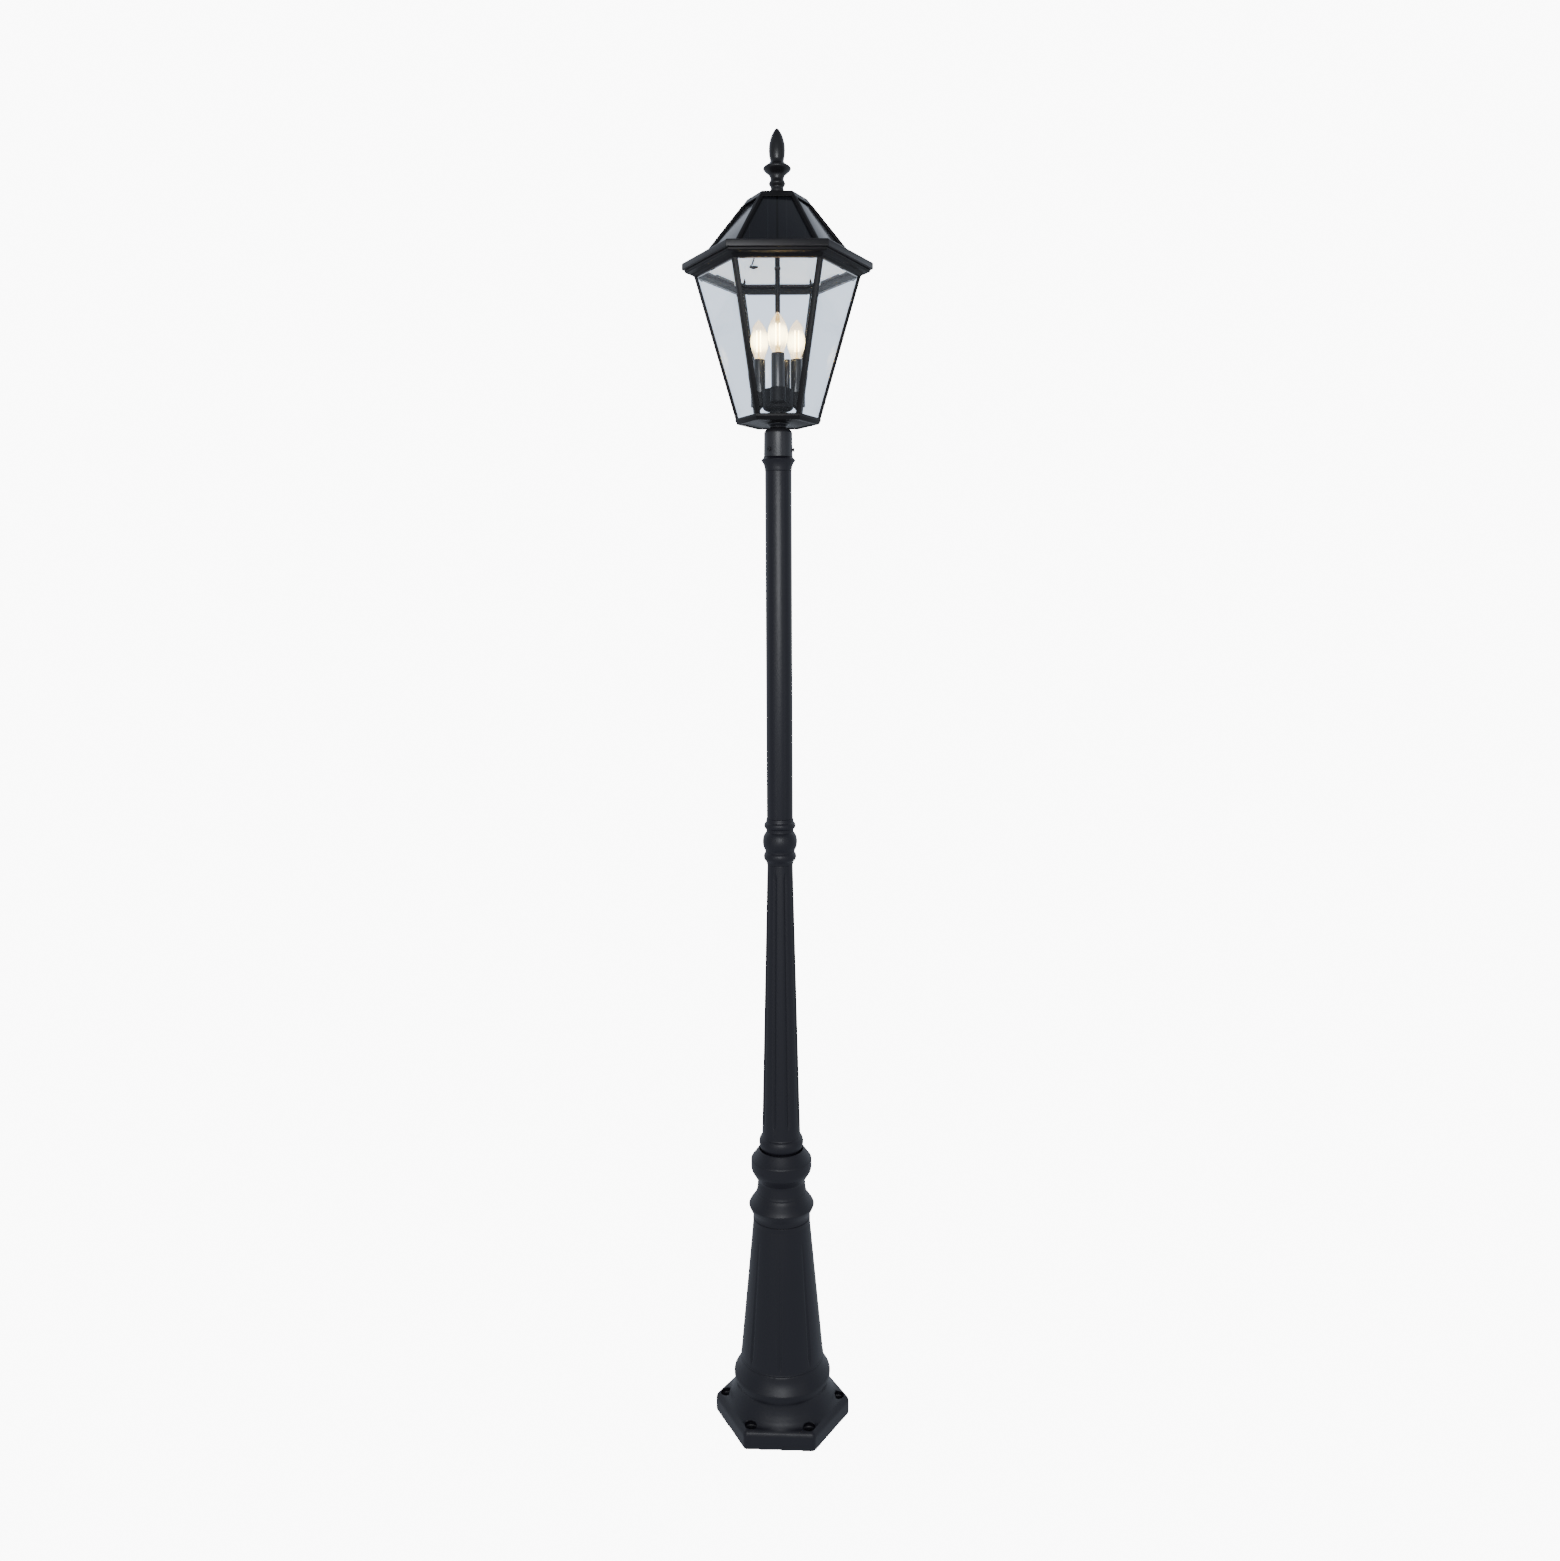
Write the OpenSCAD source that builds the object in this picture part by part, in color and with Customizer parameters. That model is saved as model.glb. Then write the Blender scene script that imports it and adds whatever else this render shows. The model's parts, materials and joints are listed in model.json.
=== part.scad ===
// Solar lamp post: a three-stage cast post with a hexagonal solar lantern on top.
// Millimetres. The origin is at the centre of the foot's underside, and +Z points up.
// A flat side of the foot and of the lantern faces -Y, with corners on +X and -X.

/* [Foot] */
// Width of the hexagonal foot, corner to corner
foot_w = 254; // [250:1:270]
// Height of the foot's wall
foot_h = 34; // [30:1:40]
// Radius of the foot's upright corners
foot_corner_r = 8; // [4:0.5:12]
// Bevel along the foot's top edge
foot_bevel = 9; // [4:0.5:12]
// Turn of the foot about the post, as it was photographed
foot_turn = -3; // [-30:1:30]
// Diameter of the round lip on top of the foot's wall
lip_d = 204; // [198:1:206]
// Height of the lip
lip_h = 2; // [1:0.5:6]
// Height of the flare between the lip and the waist
flare_h = 33; // [24:1:40]
// Diameter of the waist under the foot's ring
waist_d = 175; // [168:1:180]
// Diameter of the foot's ring
foot_ring_d = 181; // [180:1:188]
// Height of the foot's ring
foot_ring_h = 47; // [40:1:56]
// Wall of the castings
cast_wall = 6; // [5:0.5:8]

/* [Anchor holes] */
// Diameter of an anchor bolt's hole
anchor_hole_d = 11; // [8:0.5:13]
// Diameter of the circle that the anchor holes lie on
anchor_circle_d = 210; // [208:1:212]
// Diameter of the domed hollow over an anchor bolt
anchor_pocket_d = 31; // [26:0.5:31]
// Height of the hollow's dome
anchor_dome_h = 14; // [12:0.5:16]
// Thickness of the foot under an anchor bolt
anchor_floor = 22; // [16:1:23]

/* [Base shaft] */
// Diameter at the bottom of the base shaft
shaft_bottom_d = 155; // [150:0.5:156]
// Diameter at the top of the base shaft
shaft_top_d = 105; // [98:1:110]
// Height of the base shaft
shaft_h = 267; // [220:1:320]
// Number of flutes round the shafts
flutes = 8; // [6:1:12]
// Radius of the cutter that shapes a flute
flute_r = 4.6; // [3:0.2:6]
// Depth of a flute
flute_depth = 2.2; // [1:0.1:3]

/* [Bowl collar] */
// Diameter of the collar's ring
collar_ring_d = 122; // [116:1:130]
// Height of the collar's ring
collar_ring_h = 52; // [46:1:60]
// Diameter of the collar's neck
neck_d = 88.4; // [85:0.2:91]
// Height of the collar's neck
neck_h = 17; // [12:1:24]
// Diameter of the bowl
bowl_d = 113; // [106:1:122]
// Height of the bowl
bowl_h = 62; // [54:1:70]
// Diameter of the bowl's rim
bowl_rim_d = 87; // [85:0.5:91]
// Depth of the bowl's mouth, down to the column's seat
mouth_depth = 13; // [8:1:18]

/* [Column] */
// Diameter at the bottom of the fluted column
column_bottom_d = 70.6; // [66:0.2:74]
// Diameter at the top of the fluted column
column_top_d = 47; // [45:0.2:50]
// Height of the fluted column
column_h = 548; // [450:1:650]
// Diameter of the ring at the foot of the column
column_ring_d = 82.4; // [78:0.2:84]

/* [Knuckle and tube] */
// Diameter of the knuckle's ball
ball_d = 63.4; // [60:0.2:68]
// Diameter of the knuckle's lower ring
knuckle_low_ring_d = 59.8; // [57:0.2:64]
// Diameter of the knuckle's upper ring
knuckle_top_ring_d = 57.8; // [55:0.2:62]
// Height of the knuckle
knuckle_h = 85; // [76:1:96]
// Diameter of the upper tube
tube_d = 48; // [46:0.5:50]
// Wall of the upper tube
tube_wall = 2.5; // [2:0.1:3]
// Length of the upper tube
tube_h = 628; // [400:1:800]
// Diameter of the tie rod that clamps the castings together
tie_d = 12; // [10:0.5:14]

/* [Tenon] */
// Diameter of the ring on the top collar
tenon_ring_d = 62; // [58:0.2:65]
// Height of the top collar's flange
tenon_flange_h = 25; // [22:1:30]
// Diameter of the tenon that carries the lantern
tenon_d = 44; // [42:0.5:45]
// Height of the tenon above its flange
tenon_h = 41; // [34:1:42]
// Radial clearance between the tenon and the lantern's cup
turn_gap = 0.06; // [0.02:0.01:0.1]

/* [Lantern cage] */
// Outer diameter of the fitter's cup
cup_d = 52; // [51:0.2:54]
// Height of the fitter's cup
cup_h = 51; // [48:1:56]
// Height of the neck between the cup and the lantern's floor
cup_neck_h = 8.2; // [7:0.2:10]
// Diameter of the neck
cup_neck_d = 30; // [28:0.5:34]
// Diameter of the hub's flange under the floor
hub_d = 41; // [38:0.5:46]
// Width of the cage at its floor, corner to corner
cage_bottom_w = 148; // [140:1:156]
// Width of the cage at the bottom of the corner posts, corner to corner
post_bottom_w = 152.6; // [150:0.2:158]
// Width of the cage at the top of the corner posts, corner to corner
post_top_w = 294.8; // [280:0.2:300]
// Height of the corner posts
post_h = 248; // [200:1:280]
// Width of each flange of a corner post
post_flange = 7.5; // [6:0.5:11]
// Thickness of a corner post
post_t = 2.2; // [1.6:0.1:3]
// Height of the cage's bottom ring
bottom_ring_h = 10.7; // [9:0.1:15]
// Height of the cage's top ring
top_ring_h = 12; // [10:0.5:16]
// Overhang of the cage's top ring beyond the posts, at a corner
top_ring_out = 17.6; // [14:0.2:20]
// Thickness of the lantern's floor
floor_t = 3; // [2:0.5:4]
// Thickness of a glass pane
glass_t = 3; // [2:0.5:4]
// Number of set screws round the cup
set_screws_n = 3; // [2:1:4]

/* [Roof] */
// Overhang of the eave beyond the cage's top ring, at a corner
eave_out = 5; // [3:0.5:10]
// Height of the eave's upright face
eave_face_h = 12.7; // [10:0.1:15]
// Height of the slope on top of the eave
eave_slope_h = 1; // [0.6:0.1:3]
// Width of the eave's top at a corner, from its outer edge to the panels
eave_top_run = 29.5; // [26:0.5:32]
// Width of the roof where the panels end, corner to corner
roof_top_w = 124; // [118:1:130]
// Depth of the rebate in the eave that the panels stand in
panel_rebate = 9; // [6:0.5:9.5]
// Rise of the panels
roof_rise = 96.7; // [80:1:110]
// Width of a hip rib
rib_w = 10; // [8:0.5:12]
// Height of a hip rib above the panels
rib_up = 2.6; // [2:0.1:3.5]
// Thickness of a solar panel
panel_t = 4; // [3:0.5:5]
// Height of the roof's cap
cap_h = 20; // [16:1:24]
// Width of the cap's top edge, corner to corner
cap_top_w = 106; // [98:1:110]

/* [Finial] */
// Diameter of the finial's disc
finial_disc_d = 49; // [44:1:54]
// Largest diameter of the finial's spear
spear_d = 28.8; // [26:0.2:32]
// Height of the finial's turned foot, up to the spear's neck
finial_foot_h = 57; // [50:1:64]
// Height of the spear
spear_h = 55; // [45:1:65]

/* [Candles] */
// Number of candles
candles = 3; // [3:1:3]
// Distance of a candle from the axis
candle_reach = 39.5; // [39:0.1:42]
// Diameter of a candle sleeve
sleeve_d = 23.6; // [22:0.2:25]
// Wall of a candle sleeve
sleeve_wall = 1.2; // [0.8:0.1:1.6]
// Height of a candle sleeve
sleeve_h = 64; // [55:1:75]
// Diameter of the cluster's bowl
cluster_d = 56.4; // [52:0.2:57]
// Height of the cluster's top above the floor
cluster_h = 58; // [52:0.5:62]
// Diameter of the wire tube that stands on the cluster's lid
wire_tube_d = 10.4; // [8:0.2:11]
// Height of the wire tube
wire_tube_h = 55; // [40:1:60]
// Diameter of the centre rod
rod_d = 9; // [7:0.5:10]
// Diameter of a bulb's glass
bulb_d = 35; // [32:1:38]
// Height of a bulb's glass
bulb_h = 71; // [64:1:78]
// Diameter of a bulb's cap
bulb_cap_d = 14; // [13:0.5:15]
// Length of a bulb's cap
bulb_cap_h = 26; // [24:1:28]

/* [Battery and switch] */
// Diameter of a battery cell
cell_d = 18.4; // [17:0.2:19]
// Length of a battery cell
cell_h = 65; // [55:1:70]
// Number of battery cells
cells = 3; // [2:1:4]
// Diameter of the mode button
button_d = 9; // [7:0.5:11]
// Travel of the mode button
button_travel = 2.5; // [1.5:0.5:3]
// Distance of the mode button from the axis
button_reach = 42; // [38:1:46]

/* [Hidden] */
// Gap between two pieces that are fitted together by hand
fit = 0.1;
// Gap between a moving piece and what it rests on
seat = 0.3;
// Smoothness of turned surfaces
$fn = 96;
hex_angle = 60;
hex_flat = cos(30);

// Heights of the joints between the castings, from the ground up
z_lip = foot_h + lip_h;
z_waist = z_lip + flare_h;
z_shaft = z_waist + foot_ring_h;
z_collar = z_shaft + shaft_h;
z_neck = z_collar + collar_ring_h;
z_bowl = z_neck + neck_h - 1;
z_rim = z_bowl + bowl_h + 1;
z_column = z_rim - mouth_depth;
z_knuckle = z_column + column_h;
z_tube = z_knuckle + knuckle_h;
z_flange = z_tube + tube_h;
z_tenon = z_flange + tenon_flange_h;
z_cup = z_tenon + seat;
z_floor = z_cup + cup_h + cup_neck_h;
floor_lip = 1.2;
z_cage = z_floor - floor_lip;
z_post = z_cage + bottom_ring_h;
z_top_ring = z_post + post_h;
z_roof = z_top_ring + top_ring_h + seat;
z_panel = z_roof + eave_face_h + eave_slope_h;
z_cap = z_panel + roof_rise + seat;
z_cap_top = z_cap + cap_h;
washer_h = 1.8;
z_finial = z_cap_top + washer_h + 2 * fit;

// Radii and lengths that several pieces share
web_t = 8;
spigot_h = 24;
tie_hole_r = tie_d / 2 + 0.4;
nut_af = tie_d * 1.55;
nut_h = tie_d * 0.8;
column_spigot_r = neck_d / 2 - cast_wall - 8;
knuckle_spigot_r = column_top_d / 2 - cast_wall + 0.5;
knuckle_web_z = z_knuckle + knuckle_h / 2;
knuckle_sleeve_h = 50;
tube_bore_r = tube_d / 2 - tube_wall;
tenon_spigot_h = 40;
tenon_bore_r = tenon_d / 2 - 5;
z_tenon_top = z_tenon + tenon_h;
cradle_seat = 2;
cradle_wall = 1.6;
cradle_r = cell_d / 2 + fit + cradle_wall;
cup_bore_h = tenon_h + 1.2;
stub_r = 8;
stub_h = 11;
rod_r = rod_d / 2;
rod_hole_r = rod_r + seat;
rod_foot_z = z_floor - 12;
rod_top_z = z_finial + 15;
rod_nut_af = 13;
rod_nut_h = 6;
top_ring_r = post_top_w / 2 + top_ring_out;
eave_r = top_ring_r + eave_out;
roof_bottom_r = eave_r - eave_top_run;
roof_run = roof_bottom_r - roof_top_w / 2;
panel_lean = atan2(roof_run * cos(30), roof_rise);
hip_lean = atan2(roof_run, roof_rise);
// Fall of a panel's face below the hip line, per millimetre sideways from the hip
hip_cos = cos(30) * cos(panel_lean) * cos(hip_lean) + sin(panel_lean) * sin(hip_lean);
hip_fall = sin(30) * cos(panel_lean) / hip_cos;
// Shift of a panel's outer face inward from the hips' frustum, as a corner radius
panel_shift = rib_up / cos(panel_lean) / hex_flat;
z_rest = z_panel - panel_rebate;
rest_r = roof_bottom_r + panel_rebate * roof_run / roof_rise;
rib_stem = rib_w * 0.22;
ledge = 5;
floor_gap = 0.4;
floor_w = cage_bottom_w - 8;
z_inside = z_floor + floor_t;
z_cluster_top = z_floor + cluster_h;
lobe_r = sleeve_d / 2 + 2;
lobe_h = 26.5;
lobe_seat = 5;
z_candle = z_cluster_top - lobe_seat;
z_candle_top = z_candle + sleeve_h;
holder_r = sleeve_d / 2 - sleeve_wall - 0.3;
holder_gap = 0.3;
cavity_r = cluster_d / 2 - 3.6;
cavity_z = z_cluster_top - 26;
board_ledge = 2;
board_z = cavity_z + rod_nut_h + 2;
board_t = 1.6;
cover_t = 2.4;
button_flange_r = button_d / 2 + 1.2;
button_top = 3;
switch_w = 16;
switch_h = 11;
screw_r = 2.4;
screw_z = z_cup + 13;
screw_angles = [for (i = [0 : set_screws_n - 1]) 233 + i * 360 / set_screws_n];
candle_angles = [for (i = [0 : candles - 1]) -90 + i * 360 / candles];
side_angles = [for (i = [0 : 5]) -90 + i * hex_angle];
corner_angles = [for (i = [0 : 5]) i * hex_angle];
lead_d = 2.4;
wire_tube_reach = 19.3;
wire_tube_angle = 31;
wire_tube_wall = 1.2;

// Points of an elliptical arc in a profile, from angle a to angle b
function arc(x, z, rx, rz, a, b, n = 12) =
    [for (i = [0 : n]) let (t = a + (b - a) * i / n) [x + rx * cos(t), z + rz * sin(t)]];

// Radius of a straight taper at height z
function taper(r0, z0, r1, z1, z) = r0 + (r1 - r0) * (z - z0) / (z1 - z0);

// A turned solid from its outer profile, closed on the axis
module turned(points) {
    rotate_extrude()
        polygon(concat([[0, points[0][1]]], points, [[0, points[len(points) - 1][1]]]));
}

// A tube of given outer and inner radius
module pipe(r_out, r_in, h) {
    difference() {
        cylinder(r = r_out, h = h);
        translate([0, 0, -1]) cylinder(r = r_in, h = h + 2);
    }
}

// A hexagonal ring swept from a profile of corner radii
module hex_ring(points) {
    rotate_extrude($fn = 6) polygon(points);
}

// A horizontal slice of space between two heights
module slice(z0, z1) {
    translate([-2 * eave_r, -2 * eave_r, z0]) cube([4 * eave_r, 4 * eave_r, z1 - z0]);
}

// The cutter of one flute: a round bar with pointed ends that leans with the taper
module flute_cutter(r0, z0, r1, z1) {
    lean = atan2(r0 - r1, z1 - z0);
    length = norm([r0 - r1, z1 - z0]);
    tip = flute_r * 2.5;
    out = flute_r - flute_depth;
    translate([r0 + out, 0, z0])
        rotate([0, -lean, 0])
            rotate_extrude($fn = 32)
                polygon([[0, -tip], [flute_r, 0], [flute_r, length], [0, length + tip]]);
}

module flute_cutters(r0, z0, r1, z1, phase) {
    for (i = [0 : flutes - 1])
        rotate([0, 0, phase + i * 360 / flutes]) flute_cutter(r0, z0, r1, z1);
}

// A hexagonal nut with its hole, standing on z = 0
module hex_nut(across, hole_r, h) {
    difference() {
        cylinder(r = across / 2 / hex_flat, h = h, $fn = 6);
        translate([0, 0, -1]) cylinder(r = hole_r, h = h + 2);
    }
}

// A plate on one side of a six-sided frustum, measured by corner radii.
// Its outer face lies under the frustum's face by inset, and its sides stay clear of the corners by edge.
module side_plate(angle, r0, z0, r1, z1, t, inset, edge) {
    lean = atan2((r0 - r1) * hex_flat, z1 - z0);
    length = norm([(r0 - r1) * hex_flat, z1 - z0]);
    half0 = r0 / 2 - edge;
    half1 = r1 / 2 - edge;
    rotate([0, 0, angle])
        translate([r0 * hex_flat, 0, z0])
            rotate([0, -lean, 0])
                translate([-t - inset, 0, 0])
                    rotate([90, 0, 90])
                        linear_extrude(t)
                            polygon([[-half0, 0], [half0, 0], [half1, length], [-half1, length]]);
}

// A bar along one corner of a six-sided frustum, from its cross-section
module corner_bar(angle, r0, z0, r1, z1, section, spare = 20) {
    lean = atan2(r0 - r1, z1 - z0);
    length = norm([r0 - r1, z1 - z0]);
    intersection() {
        rotate([0, 0, angle])
            translate([r0, 0, z0])
                rotate([0, -lean, 0])
                    translate([0, 0, -spare])
                        linear_extrude(length + 2 * spare) polygon(section);
        slice(z0, z1);
    }
}

// The foot: a hexagonal plinth with a round lip, flare and ring, cast in one piece
module foot() {
    ring_r = foot_ring_d / 2;
    waist_r = waist_d / 2;
    lip_r = lip_d / 2;
    top_r = shaft_bottom_d / 2;
    niche_r = anchor_pocket_d / 2;
    corner_reach = foot_w / 2 - foot_corner_r / hex_flat;
    color("#26272a")
    rotate([0, 0, foot_turn])
    difference() {
        union() {
            hull()
                for (a = corner_angles) rotate([0, 0, a]) translate([corner_reach, 0, 0]) {
                    cylinder(r = foot_corner_r, h = foot_h - foot_bevel, $fn = 32);
                    cylinder(r = foot_corner_r * 0.75, h = foot_h - foot_bevel * 0.42, $fn = 32);
                    cylinder(r = 1.5, h = foot_h, $fn = 32);
                }
            turned(concat(
                [[lip_r, foot_h - foot_bevel * 0.6], [lip_r, z_lip]],
                [for (p = [[0.74, 0.12], [0.58, 0.27], [0.345, 0.485], [0.15, 0.73], [0, 1]])
                    [waist_r + (lip_r - waist_r) * p[0], z_lip + flare_h * p[1]]],
                arc(waist_r, z_waist + foot_ring_h * 0.36, ring_r - waist_r, foot_ring_h * 0.34, -80, -10, 5),
                [for (p = [[0, 0.36], [2.6, 0.447], [5.8, 0.553], [8.5, 0.66], [10.5, 0.766], [11.9, 0.872]])
                    [ring_r - p[0], z_waist + foot_ring_h * p[1]]],
                [[top_r, z_shaft]]));
        }
        // Domed hollows and holes for the anchor bolts
        for (a = corner_angles) rotate([0, 0, a]) translate([anchor_circle_d / 2, 0, 0]) {
            turned(concat([[niche_r, anchor_floor]],
                arc(0, foot_h + 4 - anchor_dome_h, niche_r, anchor_dome_h, 0, 84, 12)));
            translate([0, 0, -1]) cylinder(d = anchor_hole_d, h = anchor_floor + 2);
        }
        // Hollow under the web, and the opening above it
        hollow_r = min(anchor_circle_d / 2 - anchor_pocket_d / 2, waist_r) - cast_wall;
        hollow_top = z_shaft - web_t;
        translate([0, 0, -1]) cylinder(r = hollow_r - 2, h = z_waist + 1);
        translate([0, 0, z_waist - 1])
            cylinder(r1 = hollow_r - 2, r2 = top_r - 2 * cast_wall, h = hollow_top - z_waist + 1);
        translate([0, 0, hollow_top - 1]) cylinder(r = tie_hole_r, h = web_t + 2);
    }
}

// The lower shaft: a hollow fluted cone
module base_shaft() {
    r0 = shaft_bottom_d / 2;
    r1 = shaft_top_d / 2;
    cut0 = z_shaft + 18;
    cut1 = z_collar - 34;
    color("#26272a")
    difference() {
        turned([[r0 + 0.2, z_shaft], [r0 + 0.2, z_shaft + 2],
            [taper(r0, z_shaft, r1, z_collar, z_shaft + 3), z_shaft + 3], [taper(r0, z_shaft, r1, z_collar, z_collar - 8), z_collar - 8], [r1 + 1, z_collar - 3],
            [r1 + 1, z_collar]]);
        flute_cutters(taper(r0, z_shaft, r1, z_collar, cut0), cut0,
            taper(r0, z_shaft, r1, z_collar, cut1), cut1, foot_turn);
        translate([0, 0, z_shaft - 1])
            cylinder(r1 = r0 - cast_wall - flute_depth, r2 = r1 - cast_wall - flute_depth, h = shaft_h + 2);
    }
}

// The collar: a ring, a neck and an open bowl that the column stands in
module bowl_collar() {
    ring_r = collar_ring_d / 2;
    neck_r = neck_d / 2;
    bowl_r = bowl_d / 2;
    rim_r = bowl_rim_d / 2;
    shaft_r = shaft_top_d / 2;
    bore_r = column_spigot_r + fit;
    color("#26272a")
    difference() {
        union() {
            turned(concat(
                [[shaft_r + 0.5, z_collar], [shaft_r + 0.6, z_collar + collar_ring_h * 0.096]],
                // Lower slope, edge and upper slope of the ring
                [for (p = [[6.6, 0.192], [4.4, 0.269], [2.5, 0.346], [0.7, 0.423], [0, 0.471], [1.2, 0.519],
                        [2.6, 0.567], [4.3, 0.615], [8, 0.712], [11.6, 0.808], [13.2, 0.865]])
                    [ring_r - p[0], z_collar + collar_ring_h * p[1]]],
                // Bead and neck
                [[neck_r + 2.8, z_neck - 5.5], [neck_r + 2.8, z_neck - 3.5], [neck_r + 1.6, z_neck]],
                [[neck_r + 0.6, z_neck + neck_h * 0.5], [neck_r, z_bowl]],
                // Underside, belly and lip of the bowl
                [for (p = [[0.03, 0.065], [0.27, 0.145], [0.51, 0.226], [0.78, 0.306], [0.94, 0.387], [1, 0.45]])
                    [neck_r + (bowl_r - neck_r) * p[0], z_bowl + bowl_h * p[1]]],
                [[bowl_r, z_rim - 20], [bowl_r - 1, z_rim - 18], [bowl_r - 4.4, z_rim - 14]],
                [[bowl_r - 7.9, z_rim - 9], [rim_r + 2.5, z_rim - 5.5], [rim_r + 0.8, z_rim - 3]],
                [[rim_r - 0.6, z_rim - 1], [rim_r - 1.6, z_rim], [rim_r - 2.6, z_rim]]));
            // Spigot that centres the collar in the shaft below
            translate([0, 0, z_collar - 12])
                cylinder(r = shaft_r - cast_wall - flute_depth - 1.6, h = 14);
        }
        translate([0, 0, z_column]) cylinder(r = rim_r - 3.5, h = mouth_depth + 1);
        translate([0, 0, z_collar]) cylinder(r = bore_r, h = z_rim - z_collar + 1);
        translate([0, 0, z_collar - 13])
            cylinder(r = neck_r - cast_wall, h = z_column - spigot_h - 4 - z_collar + 13);
    }
}

// The column: a tall fluted taper with a ring at its foot and a spigot below
module column() {
    r0 = column_bottom_d / 2;
    r1 = column_top_d / 2;
    ring_r = column_ring_d / 2;
    ring_z = z_rim + 12;
    ring_half = 12;
    top_z = ring_z + 14;
    cut0 = top_z + 30;
    cut1 = z_knuckle - 22;
    color("#26272a")
    difference() {
        union() {
            turned(concat(
                [[r0, z_column], [r0, ring_z - ring_half]],
                arc(r0, ring_z, ring_r - r0, ring_half, -60, 80, 10),
                [[r0 + 0.3, top_z], [r1, z_knuckle - 2], [r1, z_knuckle]]));
            translate([0, 0, z_column - spigot_h]) cylinder(r = column_spigot_r, h = spigot_h + 1);
        }
        flute_cutters(taper(r0, top_z, r1, z_knuckle, cut0), cut0,
            taper(r0, top_z, r1, z_knuckle, cut1), cut1, 180 / flutes);
        translate([0, 0, z_column - spigot_h - 1])
            cylinder(r = column_spigot_r - cast_wall, h = spigot_h + 2);
        translate([0, 0, z_column])
            cylinder(r1 = column_spigot_r - cast_wall, r2 = knuckle_spigot_r + fit, h = column_h - spigot_h - 6);
        translate([0, 0, z_knuckle - spigot_h - 7])
            cylinder(r = knuckle_spigot_r + fit, h = spigot_h + 8);
    }
}

// The knuckle: a ball between two rings that joins the column to the tube
module knuckle() {
    body_r = column_top_d / 2;
    neck_r = tube_d / 2 + 1.2;
    low_z = z_knuckle + knuckle_h * 0.18;
    ball_z = z_knuckle + knuckle_h * 0.5;
    top_ring_z = z_knuckle + knuckle_h * 0.85;
    waist_r = ball_d / 2 - 4.6;
    color("#26272a")
    difference() {
        union() {
            turned(concat(
                [[body_r + 0.6, z_knuckle], [body_r + 1.2, z_knuckle + 4]],
                arc(body_r + 1, low_z, knuckle_low_ring_d / 2 - body_r - 1, knuckle_h * 0.1, -70, 62, 10),
                [[waist_r, low_z + knuckle_h * 0.1]],
                arc(ball_d / 2 - 11, ball_z, 11, knuckle_h * 0.23, -52, 66, 14),
                [[neck_r, top_ring_z - 6]],
                arc(neck_r, top_ring_z, knuckle_top_ring_d / 2 - neck_r, knuckle_h * 0.07, -78, 78, 8),
                [[neck_r, z_tube - 4], [tube_d / 2 + 0.8, z_tube]]));
            translate([0, 0, z_knuckle - spigot_h]) cylinder(r = knuckle_spigot_r, h = spigot_h + 1);
            translate([0, 0, z_tube - 1]) cylinder(r = tube_bore_r - fit, h = knuckle_sleeve_h + 1);
        }
        // Lower and upper bores leave a web across the ball for the tie rod's nut
        translate([0, 0, z_knuckle - spigot_h - 1])
            cylinder(r = knuckle_spigot_r - 5, h = knuckle_web_z - z_knuckle + spigot_h + 1 - web_t / 2);
        translate([0, 0, knuckle_web_z + web_t / 2])
            cylinder(r = tube_bore_r - 4, h = z_tube + knuckle_sleeve_h - knuckle_web_z);
        translate([0, 0, knuckle_web_z - web_t]) cylinder(r = tie_hole_r, h = 2 * web_t);
        // Tapped holes for the screws that hold the tube
        for (a = [60, 120]) rotate([0, 0, a])
            translate([tube_bore_r - 5, 0, z_tube + knuckle_sleeve_h * 0.6])
                rotate([0, 90, 0]) cylinder(r = screw_r + fit, h = 6);
    }
}

// The upper tube, drilled for its two screws
module upper_tube() {
    color("#26272a")
    difference() {
        translate([0, 0, z_tube]) pipe(tube_d / 2, tube_bore_r, tube_h);
        for (a = [60, 120]) rotate([0, 0, a])
            translate([tube_bore_r - 1, 0, z_tube + knuckle_sleeve_h * 0.6])
                rotate([0, 90, 0]) cylinder(r = screw_r + fit, h = tube_wall + 2);
    }
}

// Screws through the back of the tube into the knuckle's sleeve
module tube_screws() {
    color("#3a3b3e")
    for (a = [60, 120]) rotate([0, 0, a])
        translate([0, 0, z_tube + knuckle_sleeve_h * 0.6]) rotate([0, 90, 0]) {
            translate([0, 0, tube_bore_r - 3.8]) cylinder(r = screw_r, h = tube_wall + 3.8);
            translate([0, 0, tube_d / 2 + fit]) cylinder(r = screw_r * 1.8, h = 1.8);
            translate([0, 0, tube_d / 2 - 0.5]) cylinder(r = screw_r, h = 1);
        }
}

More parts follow.
